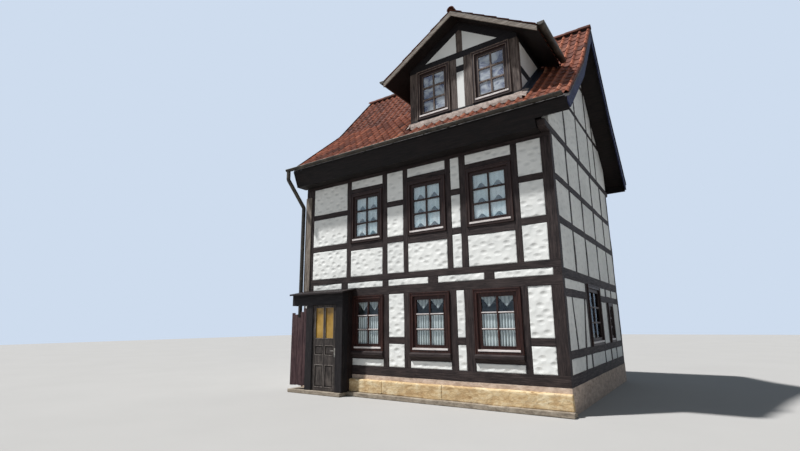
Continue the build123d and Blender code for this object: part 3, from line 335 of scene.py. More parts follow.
def glass_look():
    """Old window glass: a wavy gloss, tinted dark low down and pale blue higher up as a painted reflection,
    over a sheet that is clear below and holds a painted sky reflection higher up, with painted pale clouds.
    """
    look = Look("window_glass", 0.03, 0.5)
    place = look.place()
    waves = look.bump(look.noise(look.place(None, (1.0, 1.0, 1.6)), 3.4, 2, 0.5), 0.006, 0.5)
    level = look.maths("DIVIDE", look.separate(place)["Z"], 10.0)
    gloss = look.node("ShaderNodeBsdfGlossy")
    gloss.inputs["Roughness"].default_value = 0.04
    # Painted reflection: the gloss is dark grey on the ground floor and pale blue higher up.
    painted_reflection_tint = look.ramp(level, [(0.33, (0.30, 0.34, 0.38, 1)), (0.37, (0.90, 0.97, 1.0, 1))])
    look.link(painted_reflection_tint, gloss.inputs["Color"])
    look.link(waves, gloss.inputs["Normal"])
    through = look.node("ShaderNodeBsdfTransparent")
    through.inputs["Color"].default_value = (0.96, 0.985, 0.99, 1)
    # The film is a painted sky reflection: a diffuse sheet, dark low down, pale blue higher up and
    # purple-blue at the dormer.
    film = look.node("ShaderNodeBsdfDiffuse")
    painted_sky_tint = look.ramp(level, [(0.33, srgb(70, 84, 92)), (0.37, srgb(150, 190, 206)),
                             (0.64, srgb(150, 190, 206)), (0.68, srgb(96, 100, 132))])
    # Painted pale clouds in the reflected sky.
    drift = look.noise(look.place(None, (1.0, 1.0, 1.5)), 3.4, 3, 0.55, 0.6)
    cloud = look.ramp(drift, [(0.40, 0.0), (0.62, 1.0)])
    look.link(look.mix(cloud, painted_sky_tint, srgb(206, 212, 218)), film.inputs["Color"])
    sheet = look.node("ShaderNodeMixShader")
    look.link(look.ramp(level, [(0.33, 0.01), (0.37, 0.13), (0.64, 0.13), (0.68, 0.62)]), sheet.inputs[0])
    look.link(through.outputs[0], sheet.inputs[1])
    look.link(film.outputs[0], sheet.inputs[2])
    facing_away = look.node("ShaderNodeLayerWeight")
    facing_away.inputs["Blend"].default_value = 0.5
    look.link(waves, facing_away.inputs["Normal"])
    grazing = look.maths("POWER", facing_away.outputs["Facing"], 5.0)
    both = look.node("ShaderNodeMixShader")
    look.link(look.maths("ADD", look.maths("MULTIPLY", grazing, 0.94), 0.06), both.inputs[0])
    look.link(sheet.outputs[0], both.inputs[1])
    look.link(gloss.outputs[0], both.inputs[2])
    look.link(both.outputs[0], look.tree.nodes["Material Output"].inputs["Surface"])
    look.tree.nodes.remove(look.shader)
    return look.material


def yellow_glass_look():
    look = Look("yellow_figured_glass", 0.28, 0.5)
    place = look.place()
    # A dark yellow: the glass's own colour, lowered further as painted shade from the porch hood.
    colour = look.ramp(look.noise(place, 2.6, 3, 0.6),
                       [(0.3, srgb(120, 88, 28)), (0.5, srgb(154, 118, 43)), (0.72, srgb(178, 142, 68))])
    normal = look.bump(look.cells(place, 85.0), 0.003, 0.7)
    return look.finish(colour, normal)


def lace_look():
    """White net, grey in the folds as painted shade."""
    look = Look("white_net", 0.9, 0.1)
    place = look.place()
    threads = look.noise(place, 60.0, 3, 0.6)
    colour = look.ramp(threads, [(0.3, srgb(238, 242, 240)), (0.7, srgb(250, 251, 249))])
    # Painted shade: the folds turn grey.
    colour = look.mix(look.value("fold"), colour, srgb(70, 78, 80))
    normal = look.bump(look.cells(place, 220.0), 0.0015, 0.5)
    return look.finish(colour, normal)


TIMBER = wood_look("dark_oak_timber", (22, 17, 17), (45, 36, 35), (74, 63, 60))
# A darker, bluer copy of the timber for parts under roofs and hoods, as painted shade.
SHADED_TIMBER_COPY = wood_look("timber_with_painted_shade", (14, 11, 13), (26, 22, 23), (43, 38, 38))
DARK_BOARDS = wood_look("black_brown_boards", (15, 10, 10), (28, 18, 16), (44, 30, 26), roughness=0.6)
SOFFIT_BOARDS = wood_look("soffit_boards", (12, 9, 9), (24, 17, 15), (40, 28, 25), "x", roughness=0.6)
# The blue on these dark boards is painted shade, lit by the sky.
SKY_SHADED_VERGE_BOARDS = wood_look("verge_boards_with_painted_blue_shade", (12, 14, 28), (28, 33, 62), (50, 57, 92))
GREY_BOARDS = wood_look("weathered_grey_boards", (74, 66, 60), (122, 112, 102), (160, 150, 140))
DORMER_TIMBER = wood_look("weathered_dormer_timber", (44, 36, 33), (88, 76, 70), (124, 112, 104))
EAVE_BOARDS = wood_look("dark_red_brown_eave_boards", (8, 4, 3), (15, 8, 6), (27, 15, 12))
RED_BOARDS = wood_look("worn_red_brown_boards", (32, 22, 24), (62, 42, 44), (98, 76, 74), worn=0.5)
FLOOR_BOARDS = wood_look("floor_boards", (92, 66, 42), (136, 102, 68), (164, 130, 92), "x")
MAHOGANY = wood_look("mahogany_frames", (24, 11, 9), (49, 25, 20), (80, 50, 41), roughness=0.42)
DARK_FRAMES = wood_look("dark_brown_frames", (20, 13, 12), (50, 34, 30), (84, 62, 54), roughness=0.5)
DORMER_FRAMES = wood_look("grey_brown_frames", (60, 50, 45), (108, 94, 86), (148, 134, 124))
PALE_PAINT = wood_look("pale_sill_paint", (170, 158, 152), (222, 214, 210), (240, 236, 234), roughness=0.5)
DOOR_EDGES = wood_look("rubbed_door_mouldings", (46, 42, 39), (98, 90, 85), (150, 142, 136), worn=0.7)
DOOR_PAINT = wood_look("weathered_door_paint", (28, 25, 24), (56, 50, 47), (104, 96, 90), worn=0.55)
PLASTER = plaster_look("lime_plaster", True)
SMOOTH_PLASTER = plaster_look("smooth_lime_plaster", False)
TILES = tile_look()
MORTAR = stone_look("lime_mortar", (118, 102, 94), (168, 153, 144), (198, 186, 178), 9.0)
SANDSTONE = stone_look("yellow_sandstone", (160, 126, 86), (206, 180, 138), (228, 214, 182), 2.6, 0.014)
FOUNDATION = stone_look("pinkish_render", (156, 136, 122), (196, 176, 160), (218, 202, 188), 4.0)
KERB = stone_look("grey_kerb_stone", (104, 94, 82), (146, 134, 119), (174, 164, 148), 5.0)
ZINC = metal_look("weathered_zinc", (33, 30, 27), (60, 55, 48), (98, 92, 82))
BRIGHT_ZINC = metal_look("rubbed_zinc_rims", (96, 90, 80), (152, 146, 134), (196, 190, 178))
LEAD = metal_look("dark_lead", (20, 22, 28), (34, 38, 48), (58, 64, 76), 0.6)
IRON = metal_look("dark_iron", (24, 22, 22), (46, 42, 40), (84, 76, 70), 0.5)
BRASS = metal_look("worn_handle_metal", (70, 67, 62), (138, 134, 126), (190, 186, 178), 0.38)
GLASS = glass_look()
YELLOW_GLASS = yellow_glass_look()
LACE = lace_look()


# Meshes

def mesh_from(bm, name):
    """The mesh of a bmesh, which is freed."""
    mesh = bpy.data.meshes.new(name)
    bm.to_mesh(mesh)
    bm.free()
    return mesh


def set_values(mesh, key, values, kind="FLOAT"):
    """Keep a number or a vector for each point of a mesh, for its material to read."""
    attribute = mesh.attributes.new(key, kind, "POINT")
    attribute.data.foreach_set("value" if kind == "FLOAT" else "vector", np.array(values, np.float32).ravel())


def grid_faces(rows, columns, first=0, every=1):
    """Faces between rows of points, with one point more in a row than there are columns."""
    wide = columns + 1
    corners = [first + r * wide + c for r in range(0, rows - 1, every) for c in range(columns)]
    return [(p, p + 1, p + wide + 1, p + wide) for p in corners]


def unit(axis):
    return Vector([1.0 if i == axis else 0.0 for i in range(3)])


def grain_order(axis):
    """The three axes, with the one along the grain first."""
    return [axis] + [i for i in range(3) if i != axis]


def cut_points(low, high, axis, step):
    """Points at which planes across an axis cut a length into even steps."""
    count = int((high[axis] - low[axis]) / step)
    for number in range(1, count + 1):
        place = Vector((0, 0, 0))
        place[axis] = low[axis] + (high[axis] - low[axis]) * number / (count + 1)
        yield place


def piece_from(name, mesh_or_bm, material, slot, body="house", replaced=(), smooth=False):
    """A new piece of the house, from a bmesh or a mesh already in place."""
    if isinstance(mesh_or_bm, bmesh.types.BMesh):
        mesh = mesh_from(mesh_or_bm, name)
    else:
        mesh = mesh_or_bm
        mesh.name = name
    mesh.materials.clear()
    mesh.materials.append(material)
    for polygon in mesh.polygons:
        polygon.use_smooth = smooth
    piece = bpy.data.objects.new(name, mesh)
    bpy.context.scene.collection.objects.link(piece)
    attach(piece, body)
    if replaced:
        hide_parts(*replaced)
    return piece


def mesh_of(points, faces):
    mesh = bpy.data.meshes.new("mesh")
    mesh.from_pydata([tuple(p) for p in points], [], faces)
    mesh.update()
    return mesh


def clean_solid(node):
    """A working copy of a CAD node with its flat faces whole."""
    bm = bmesh.new()
    bm.from_mesh(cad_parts[node].data)
    bmesh.ops.remove_doubles(bm, verts=bm.verts, dist=1e-5)
    bmesh.ops.dissolve_limit(bm, angle_limit=math.radians(0.5), verts=bm.verts, edges=bm.edges)
    return bm


def islands(bm):
    """The separate solids of a bmesh, each as its list of points."""
    bm.verts.ensure_lookup_table()
    seen, found = set(), []
    for start in bm.verts:
        if start.index in seen:
            continue
        seen.add(start.index)
        group, queue = [], [start]
        while queue:
            vert = queue.pop()
            group.append(vert)
            for edge in vert.link_edges:
                other = edge.other_vert(vert)
                if other.index not in seen:
                    seen.add(other.index)
                    queue.append(other)
        found.append(group)
    return found


def box_of(verts):
    points = np.array([v.co for v in verts])
    return points.min(0), points.max(0)


def boxes(node):
    """Lowest and highest corner of each solid of a node, from left to right and from low to high."""
    bm = clean_solid(node)
    found = [box_of(group) for group in islands(bm)]
    bm.free()
    return sorted(found, key=lambda b: (round(b[0][1], 1), round(b[0][2], 1), b[0][0]))


def geometry_of(verts):
    """Points, edges and faces of one solid."""
    edges = {e for v in verts for e in v.link_edges}
    faces = {f for v in verts for f in v.link_faces}
    return list(verts) + list(edges) + list(faces)


def hewn(node, material, slot, bevel=0.007, wave=0.0035, step=0.3, body="house", only_sharp=50.0):
    """A timber or board node with eased edges, a slightly wandering face and its own grain."""
    bm = clean_solid(node)
    sharp = [e for e in bm.edges
             if len(e.link_faces) == 2 and e.calc_face_angle(0) > math.radians(only_sharp)]
    bmesh.ops.bevel(bm, geom=sharp, offset=bevel, segments=2, profile=0.6, affect="EDGES", clamp_overlap=True)
    for group in islands(bm):
        low, high = box_of(group)
        axis = int(np.argmax(high - low))
        geometry = geometry_of(group)
        for place in cut_points(low, high, axis, step):
            cut = bmesh.ops.bisect_plane(bm, geom=geometry, dist=1e-6, plane_co=place, plane_no=unit(axis))
            geometry = list(set(cut["geom"]) | set(cut["geom_cut"]))
    grain = {}
    for group in islands(bm):
        low, high = box_of(group)
        order = grain_order(int(np.argmax(high - low)))
        shift = rng.uniform(0, 40, 3)
        for vert in group:
            grain[vert.index] = [vert.co[i] + shift[n] for n, i in enumerate(order)]
    if wave:
        for vert in bm.verts:
            vert.co += Vector(noise.noise_vector(vert.co * 1.9)) * wave
            vert.co.z = max(vert.co.z, cad_low.z)
    bm.verts.index_update()
    values = [grain[i] for i in range(len(bm.verts))]
    mesh = mesh_from(bm, node + "_hewn")
    set_values(mesh, "grain", values, "FLOAT_VECTOR")
    return piece_from(node + "_hewn", mesh, material, slot, body, (node,))


def dab_height(across, up):
    """Depth of the trowel dabs: staggered slanting dents, each with a soft mound round it."""
    height = np.zeros_like(across)
    line = np.round(up / DAB_ROW)
    for near in (-1, 0, 1):
        r = line + near
        shift = (r % 2) * DAB_PITCH / 2
        column = np.round((across - shift) / DAB_PITCH)
        seed = np.sin(column * 12.9898 + r * 78.233) * 43758.5453
        jitter = (seed - np.floor(seed)) - 0.5
        cx = column * DAB_PITCH + shift + jitter * 0.07
        cz = r * DAB_ROW + (np.mod(jitter * 7.3, 1) - 0.5) * 0.06
        dx, dz = across - cx, up - cz
        u = dx * 0.82 + dz * 0.57
        v = -dx * 0.57 + dz * 0.82
        size = 0.8 + 0.45 * np.mod(jitter * 3.7, 1)
        mound = np.exp(-((u / (0.085 * size)) ** 2 + ((v + 0.012) / 0.052) ** 2))
        dent = np.exp(-((u / (0.042 * size)) ** 2 + ((v - 0.020) / 0.017) ** 2))
        height += mound * 0.007 - dent * 0.004
    return height


def plastered(node, outward, step):
    """An infill node whose outer faces are dabbed by trowel. Outward is the wall's outer direction."""
    bm = clean_solid(node)
    direction = Vector(outward)
    along = 0 if abs(outward[1]) > 0.5 else 1
    for axis in (along, 2):
        for group in islands(bm):
            low, high = box_of(group)
            faces = {f for v in group for f in v.link_faces if f.normal.dot(direction) > 0.9}
            for place in cut_points(low, high, axis, step):
                near = [f for f in faces
                        if min(v.co[axis] for v in f.verts) < place[axis] < max(v.co[axis] for v in f.verts)]
                parts = set(near) | {e for f in near for e in f.edges} | {v for f in near for v in f.verts}
                cut = bmesh.ops.bisect_plane(bm, geom=list(parts), dist=1e-6, plane_co=place,
                                             plane_no=unit(axis))
                faces |= {g for g in cut["geom"] if isinstance(g, bmesh.types.BMFace)}
                faces = {f for f in faces if f.is_valid}
    bm.normal_update()
    moved = [v for v in bm.verts if all(f.normal.dot(direction) > 0.9 for f in v.link_faces)]
    places = np.array([v.co for v in moved])
    heights = dab_height(places[:, along], places[:, 2])
    for vert, height in zip(moved, heights):
        slow = noise.noise(vert.co * 2.6) * 0.004 + noise.noise(vert.co * 9.0) * 0.0015
        vert.co += direction * (float(height) + slow - 0.002)
    mesh = mesh_from(bm, node + "_dabbed")
    piece = piece_from(node + "_dabbed", mesh, PLASTER, "plaster", "house", (node,))
    for polygon in mesh.polygons:
        polygon.use_smooth = polygon.normal.dot(direction) > 0.6
    return piece


# Roof tiles

def tile_profile(across):
    """Height of a pantile over its width: a broad pan and a narrow roll."""
    offset = np.abs(np.mod(across - 0.78 + 0.5, 1.0) - 0.5)
    return TILE_RISE * (np.exp(-(offset / 0.17) ** 2) - 1.0) + TILE_CREST


def tile_shape(columns=10):
    """Points (across, up the slope, height) and faces of one tile, as a sheet with a thick lower edge."""
    across = np.linspace(0, 1, columns + 1)
    rows = [(0.016, -TILE_EDGE), (0.0, -TILE_EDGE), (0.003, 0.0), (TILE_REACH * 0.55, -TILE_STEP * 0.55),
            (TILE_REACH * 1.10, -TILE_STEP * 1.1)]
    points = [(a * TILE_WIDTH, up, h + lift)
              for up, lift in rows for a, h in zip(across, tile_profile(across))]
    return np.array(points), np.array(grid_faces(len(rows), columns))


def laid_tiles(name, place, across_ends, up_ends, keep, replaced=(), tone_of=None):
    """Courses of tiles over a slope. place(across, up) gives a point and three directions of the slope."""
    shape, faces = tile_shape()
    crest = np.clip((shape[:, 2] - TILE_CREST + TILE_RISE) / TILE_RISE, 0, 1)
    all_points, all_faces, tones, damps, crests = [], [], [], [], []
    courses = int(round((up_ends[1] - up_ends[0]) / TILE_REACH))
    reach = (up_ends[1] - up_ends[0]) / courses
    columns = int(round((across_ends[1] - across_ends[0]) / TILE_WIDTH))
    wide = (across_ends[1] - across_ends[0]) / columns
    count = 0
    for course in range(courses):
        for column in range(columns):
            a = across_ends[0] + column * wide
            up = up_ends[0] + course * reach
            if not keep(a + wide / 2, up + reach / 2):
                continue
            base, across, slope, out = place(a, up, reach)
            turn = rng.normal(0, 0.008)
            lift = rng.normal(0, 0.0022) - 0.002
            local = shape * np.array([wide / TILE_WIDTH, reach / TILE_REACH, 1.0])
            shift = rng.normal(0, 0.003, 2)
            x = local[:, 0] - turn * local[:, 1] + shift[0]
            y = local[:, 1] + turn * local[:, 0] + shift[1]
            points = (np.array(base)[None] + x[:, None] * np.array(across)[None]
                      + y[:, None] * np.array(slope)[None]
                      + (local[:, 2] + lift)[:, None] * np.array(out)[None])
            all_points.append(points)
            all_faces.append(faces + count * len(shape))
            tone = float(np.clip(rng.normal(0.5, 0.17), 0, 1))
            damp = 0.5
            if tone_of:
                tone, damp = tone_of(a, up, tone)
            tones.append(np.full(len(shape), tone))
            damps.append(np.full(len(shape), damp))
            crests.append(crest)
            count += 1
    mesh = mesh_of(np.concatenate(all_points), np.concatenate(all_faces).tolist())
    for key, values in (("tone", tones), ("damp", damps), ("crest", crests)):
        set_values(mesh, key, np.concatenate(values))
    piece = piece_from(name, mesh, TILES, "tiles", "house", replaced)
    smooth_by_angle(mesh)
    return piece


def smooth_by_angle(mesh, degrees=40):
    """Smooth faces with edges kept sharp over an angle."""
    bm = bmesh.new()
    bm.from_mesh(mesh)
    for face in bm.faces:
        face.smooth = True
    for edge in bm.edges:
        if len(edge.link_faces) == 2:
            edge.smooth = edge.calc_face_angle(0) < math.radians(degrees)
    bm.to_mesh(mesh)
    bm.free()


LOWER_SLOPE = math.dist(EAVE, KNEE)
UPPER_SLOPE = math.dist(KNEE, RIDGE)


def main_slope(side):
    """Places on the front slope, or on the rear one with side -1, bent softly at the knee."""
    lower = np.array([KNEE[0] - EAVE[0], KNEE[1] - EAVE[1]]) / LOWER_SLOPE
    upper = np.array([RIDGE[0] - KNEE[0], RIDGE[1] - KNEE[1]]) / UPPER_SLOPE

    def place(x, up, reach):
        """Base point and directions of the tile that starts at up."""
        ends = []
        for distance in (up, up + reach):
            if distance < LOWER_SLOPE:
                ends.append(np.array(EAVE) + lower * distance)
            else:
                ends.append(np.array(KNEE) + upper * (distance - LOWER_SLOPE))
        line = (ends[1] - ends[0]) / np.linalg.norm(ends[1] - ends[0])
        y, z = ends[0]
        if side > 0:
            return at(x, y, z), (1, 0, 0), (0, line[0], line[1]), (0, -line[1], line[0])
        return at(x, DEPTH - y, z), (1, 0, 0), (0, -line[0], line[1]), (0, line[1], line[0])
    return place


def slope_height(y):
    """Height of the main roof's surface at a distance back from the front, on the front slope."""
    if y < KNEE[0]:
        return KNEE[1] - (KNEE[0] - y) * (KNEE[1] - EAVE[1]) / (KNEE[0] - EAVE[0])
    return KNEE[1] + (y - KNEE[0]) * (RIDGE[1] - KNEE[1]) / (RIDGE[0] - KNEE[0])


def slope_back(up):
    """Distance back from the front of a point up the front slope."""
    if up < LOWER_SLOPE:
        return EAVE[0] + (KNEE[0] - EAVE[0]) * up / LOWER_SLOPE
    return KNEE[0] + (RIDGE[0] - KNEE[0]) * (up - LOWER_SLOPE) / UPPER_SLOPE


def dormer_surface(x):
    return DORMER_RIDGE - abs(x - DORMER_CENTRE) * DORMER_PITCH


def clear_of_dormer(x, up):
    """True where the main slope has tiles: not inside the dormer."""
    y = slope_back(up)
    beside = abs(x - DORMER_CENTRE) > DORMER_WALL_HALF + 0.03
    return beside or y < -0.10 or slope_height(y) > dormer_surface(x) - 0.12


def front_tone(x, up, tone):
    """Darker tiles high up and at the left; brighter ones at the right of the dormer, as painted sunlight on
    that part of the slope.
    """
    y = slope_back(up)
    dark = 0.10 * (up / (LOWER_SLOPE + UPPER_SLOPE)) + 0.12 * max(0.0, 1 - x / 3.0)
    # The lift right of the dormer is painted sunlight.
    return float(np.clip(tone - dark + (0.12 if x > 6.9 else 0.0), 0, 1)), 0.9 if y < 0.3 else 0.45


def main_tiles():
    ends = (TILES_LEFT, TILES_RIGHT)
    total = LOWER_SLOPE + UPPER_SLOPE
    laid_tiles("front_roof_tiles", main_slope(1), ends, (0.0, total), clear_of_dormer, ("roof_front",),
               front_tone)
    laid_tiles("rear_roof_tiles", main_slope(-1), ends, (0.0, total), lambda a, up: True, ("roof_rear",))


def dormer_tiles():
    """Both slopes of the dormer, up to where they meet the main roof."""
    length = math.hypot(DORMER_HALF, DORMER_HALF * DORMER_PITCH)
    run = 1 / math.hypot(1, DORMER_PITCH)
    for side, name in ((-1, "left"), (1, "right")):
        def place(a, up, reach, side=side):
            distance = DORMER_HALF - up * run
            x = DORMER_CENTRE + side * distance
            base = at(x, a, dormer_surface(x))
            return base, (0, 1, 0), (-side * run, 0, DORMER_PITCH * run), (side * DORMER_PITCH * run, 0, run)

        def keep(a, up, side=side):
            x = DORMER_CENTRE + side * (DORMER_HALF - up * run)
            return slope_height(a) < dormer_surface(x) + 0.06

        laid_tiles(f"dormer_{name}_tiles", place, (-DORMER_VERGE - 0.02, 2.85), (0.0, length - 0.03), keep,
                   ("dormer_roof",))


def boarding(node, name, material):
    """The boarding under the tiles: the CAD roof with its tiled surface lowered."""
    bm = clean_solid(node)
    bm.normal_update()
    for vert in bm.verts:
        up = [f.normal for f in vert.link_faces if f.normal.z > 0.3]
        if up:
            mean = sum(up, Vector((0, 0, 0))).normalized()
            vert.co -= mean * BOARDING_DROP
    return piece_from(name, bm, material, "dark_boards", "house", (node,))


def ridge_tiles(name, start, end, radius, replaced=(), sides=10):
    """Half-round ridge tiles, each lapped over the next, with their thick ends."""
    axis = (end - start).normalized()
    side = axis.cross(Vector((0, 0, 1))).normalized()
    count = int(round((end - start).length / RIDGE_TILE_REACH))
    step = (end - start).length / count
    reach = 1.0 + 0.012 / step
    points, faces, tones = [], [], []
    for number in range(count):
        tone = float(np.clip(rng.normal(0.14, 0.10), 0, 1))
        first = len(points)
        last = number == count - 1
        for along, grow in ((0.0, 0.90), (0.0, 1.05), (0.07, 1.05), (1.0 if last else reach, 0.96)):
            place = start + axis * step * (number + along)
            for k in range(sides + 1):
                angle = math.pi * (-0.05 + 1.1 * k / sides)
                r = radius * grow
                points.append(place + side * math.cos(angle) * r + Vector((0, 0, math.sin(angle) * r * 0.92)))
                tones.append(tone)
        faces += grid_faces(4, sides, first)
    mesh = mesh_of(points, faces)
    for key, values in (("tone", tones), ("damp", [0.6] * len(tones)), ("crest", [0.4] * len(tones))):
        set_values(mesh, key, values)
    piece = piece_from(name, mesh, TILES, "tiles", "house", replaced)
    smooth_by_angle(mesh)
    return piece


def ribbon(name, rows, material, slot, rough=0.0, replaced=()):
    """A skin through rows of points, with a rough surface; each row has as many points."""
    points = [p + Vector(noise.noise_vector(p * 9.0)) * rough + Vector(noise.noise_vector(p * 3.1)) * rough
              for row in rows for p in row]
    faces = grid_faces(len(rows), len(rows[0]) - 1)
    return piece_from(name, mesh_of(points, faces), material, slot, "house", replaced, smooth=True)


def shares(first, last, count):
    return [first + (last - first) * n / count for n in range(count + 1)]


def dormer_mortar():
    """Mortar that seals the dormer's sill to the tiles, and lead along its cheeks."""
    left, right = DORMER_CENTRE - DORMER_WALL_HALF, DORMER_CENTRE + DORMER_WALL_HALF
    xs = shares(left - 0.05, right + 0.03, 140)
    length = TILES_RIGHT - TILES_LEFT
    wide = length / round(length / TILE_WIDTH)
    over = [float(h) for h in tile_profile(np.mod(np.array(xs) - TILES_LEFT, wide) / wide)]
    rows = []
    for share in (0.0, 0.3, 0.65, 0.9, 1.0):
        y = -0.003 - 0.036 * share
        rows.append([at(x, y - 0.012 * math.sin(math.pi * share),
                        6.55 * (1 - share) + (slope_height(y) + h) * share)
                     for x, h in zip(xs, over)])
    ribbon("dormer_sill_mortar", rows, MORTAR, "sandstone", 0.008)
    for side, name in ((-1, "left"), (1, "right")):
        x = DORMER_CENTRE + side * DORMER_WALL_HALF
        ys = shares(0.02, 1.62, 24)
        rows = []
        for out, lift in ((0.006, 0.17), (0.010, 0.055), (0.06, 0.045), (0.15, 0.036), (0.17, 0.02)):
            rows.append([at(x + side * out, y, slope_height(y) + lift) for y in ys])
        ribbon(f"cheek_flashing_{name}", rows, LEAD, "zinc", 0.006)
        ys = shares(-0.12, 0.34, 12)
        rows = []
        for out, lift in ((0.0, 0.15), (0.03, 0.12), (0.08, 0.08), (0.13, 0.03)):
            rows.append([at(x + side * out, y, slope_height(y) + lift * (1 - 0.6 * abs(y - 0.1) / 0.3))
                         for y in ys])
        ribbon(f"cheek_mortar_{name}", rows, MORTAR, "sandstone", 0.02)


def verge_edges():
    """Clay edges under the last tiles at both verges, down both slopes."""
    for x, name in ((VERGE_LEFT + 0.008, "left"), (VERGE_RIGHT - 0.008, "right")):
        for side, part in ((1, "front"), (-1, "rear")):
            place = main_slope(side)
            rows = []
            for lift in (TILE_CREST - 0.02, -BOARDING_DROP + 0.002):
                row = []
                for up in shares(0.0, LOWER_SLOPE + UPPER_SLOPE - 0.001, 32):
                    base, _, _, out = place(x, up, 0.001)
                    row.append(base + Vector(out) * lift)
                rows.append(row)
            mesh = ribbon(f"verge_edge_{part}_{name}", rows, TILES, "tiles", 0.003).data
            for key, level in (("tone", 0.22), ("damp", 0.5), ("crest", 0.3)):
                set_values(mesh, key, [level] * len(mesh.vertices))


def gutter_fittings():
    """Brackets under the front gutter, a bead on each gutter's rim, and drip strips at the dormer's eaves."""
    rim, y = EAVE[1] - GUTTER_DROP, EAVE[0] - GUTTER_RADIUS
    outer = GUTTER_RADIUS + 0.003
    eave_end = DORMER_CENTRE + DORMER_HALF
    eave = dormer_surface(eave_end)
    rows = []
    for x in shares(0.1, WIDTH + 0.3, 10):
        for edge in (0.0, 0.026):
            rows.append([at(x + edge, y - math.cos(math.pi * k / 12) * outer,
                            rim - math.sin(math.pi * k / 12) * outer) for k in range(2, 11)])
    points = [p for row in rows for p in row]
    faces = grid_faces(len(rows), len(rows[0]) - 1, every=2)
    piece_from("front_gutter_brackets", mesh_of(points, faces), IRON, "iron", smooth=True)
    bm = bmesh.new()
    bead = y - GUTTER_RADIUS + BEAD_RADIUS
    ends = [(at(-0.285, bead, rim + 0.002), at(WIDTH + 0.475, bead, rim + 0.002))]
    for x in (DORMER_CENTRE - DORMER_HALF - 0.156, eave_end + 0.156):
        ends.append((at(x, -DORMER_VERGE + 0.003, eave), at(x, 1.3, eave)))
    for start, end in ends:
        turn = (end - start).to_track_quat("Z", "Y").to_matrix().to_4x4()
        bmesh.ops.create_cone(bm, cap_ends=True, segments=8, radius1=BEAD_RADIUS, radius2=BEAD_RADIUS,
                              depth=(end - start).length, matrix=Matrix.Translation((start + end) / 2) @ turn)
    piece_from("gutter_beads", bm, BRIGHT_ZINC, "zinc", smooth=True)
    for side, name in ((-1, "left"), (1, "right")):
        rows = [[at(DORMER_CENTRE + side * (DORMER_HALF + out), back, eave + lift)
                 for back in shares(-DORMER_VERGE, 1.3, 17)]
                for out, lift in ((-0.12, 0.045), (-0.02, -0.02), (0.05, -0.05), (0.08, -0.075))]
        ribbon(f"dormer_drip_strip_{name}", rows, ZINC, "zinc", 0.002)


# Windows

def bar_box(bm, low, high, bevel=0.004):
    """Add a squared bar with eased edges to a bmesh."""
    made = bmesh.ops.create_cube(bm, size=1.0)
    size = [h - l for l, h in zip(low, high)]
    centre = [(l + h) / 2 for l, h in zip(low, high)]
    for vert in made["verts"]:
        vert.co = Vector([c + v * s for c, v, s in zip(centre, vert.co, size)])
    edges = list({e for v in made["verts"] for e in v.link_edges})
    bmesh.ops.bevel(bm, geom=edges, offset=bevel, segments=2, profile=0.6, affect="EDGES", clamp_overlap=True)


def with_grain(mesh, axis=2):
    """Give a mesh the coordinates that its wood material reads, with the grain along one axis."""
    points = np.zeros(len(mesh.vertices) * 3, np.float32)
    mesh.vertices.foreach_get("co", points)
    points = points.reshape(-1, 3)
    set_values(mesh, "grain", points[:, grain_order(axis)], "FLOAT_VECTOR")


def bars_piece(name, bars, material, slot, bevel=0.004, body="house", axis=2):
    """Squared bars given as (lowest corner, highest corner), as one piece."""
    bm = bmesh.new()
    for low, high in bars:
        bar_box(bm, low, high, bevel)
    mesh = mesh_from(bm, name)
    with_grain(mesh, axis)
    return piece_from(name, mesh, material, slot, body)


def facing(wall):
    """Turn (along, out, up) of a wall into frame coordinates, with out measured from its outer face."""
    if wall == "front":
        return lambda a, out, z: (a, corner.y - out, z)
    if wall == "gable":
        return lambda a, out, z: (corner.x + WIDTH + out, a, z)
    return lambda a, out, z: (a, corner.y + DEPTH + out, z)


def ordered(p, q):
    return [min(a, b) for a, b in zip(p, q)], [max(a, b) for a, b in zip(p, q)]


def beads_over(turn, sides, near, far):
    """Bars over spans (along from, along to, low, high), between two distances out of the wall."""
    return [ordered(turn(s0, near, t0), turn(s1, far, t1)) for s0, s1, t0, t1 in sides]


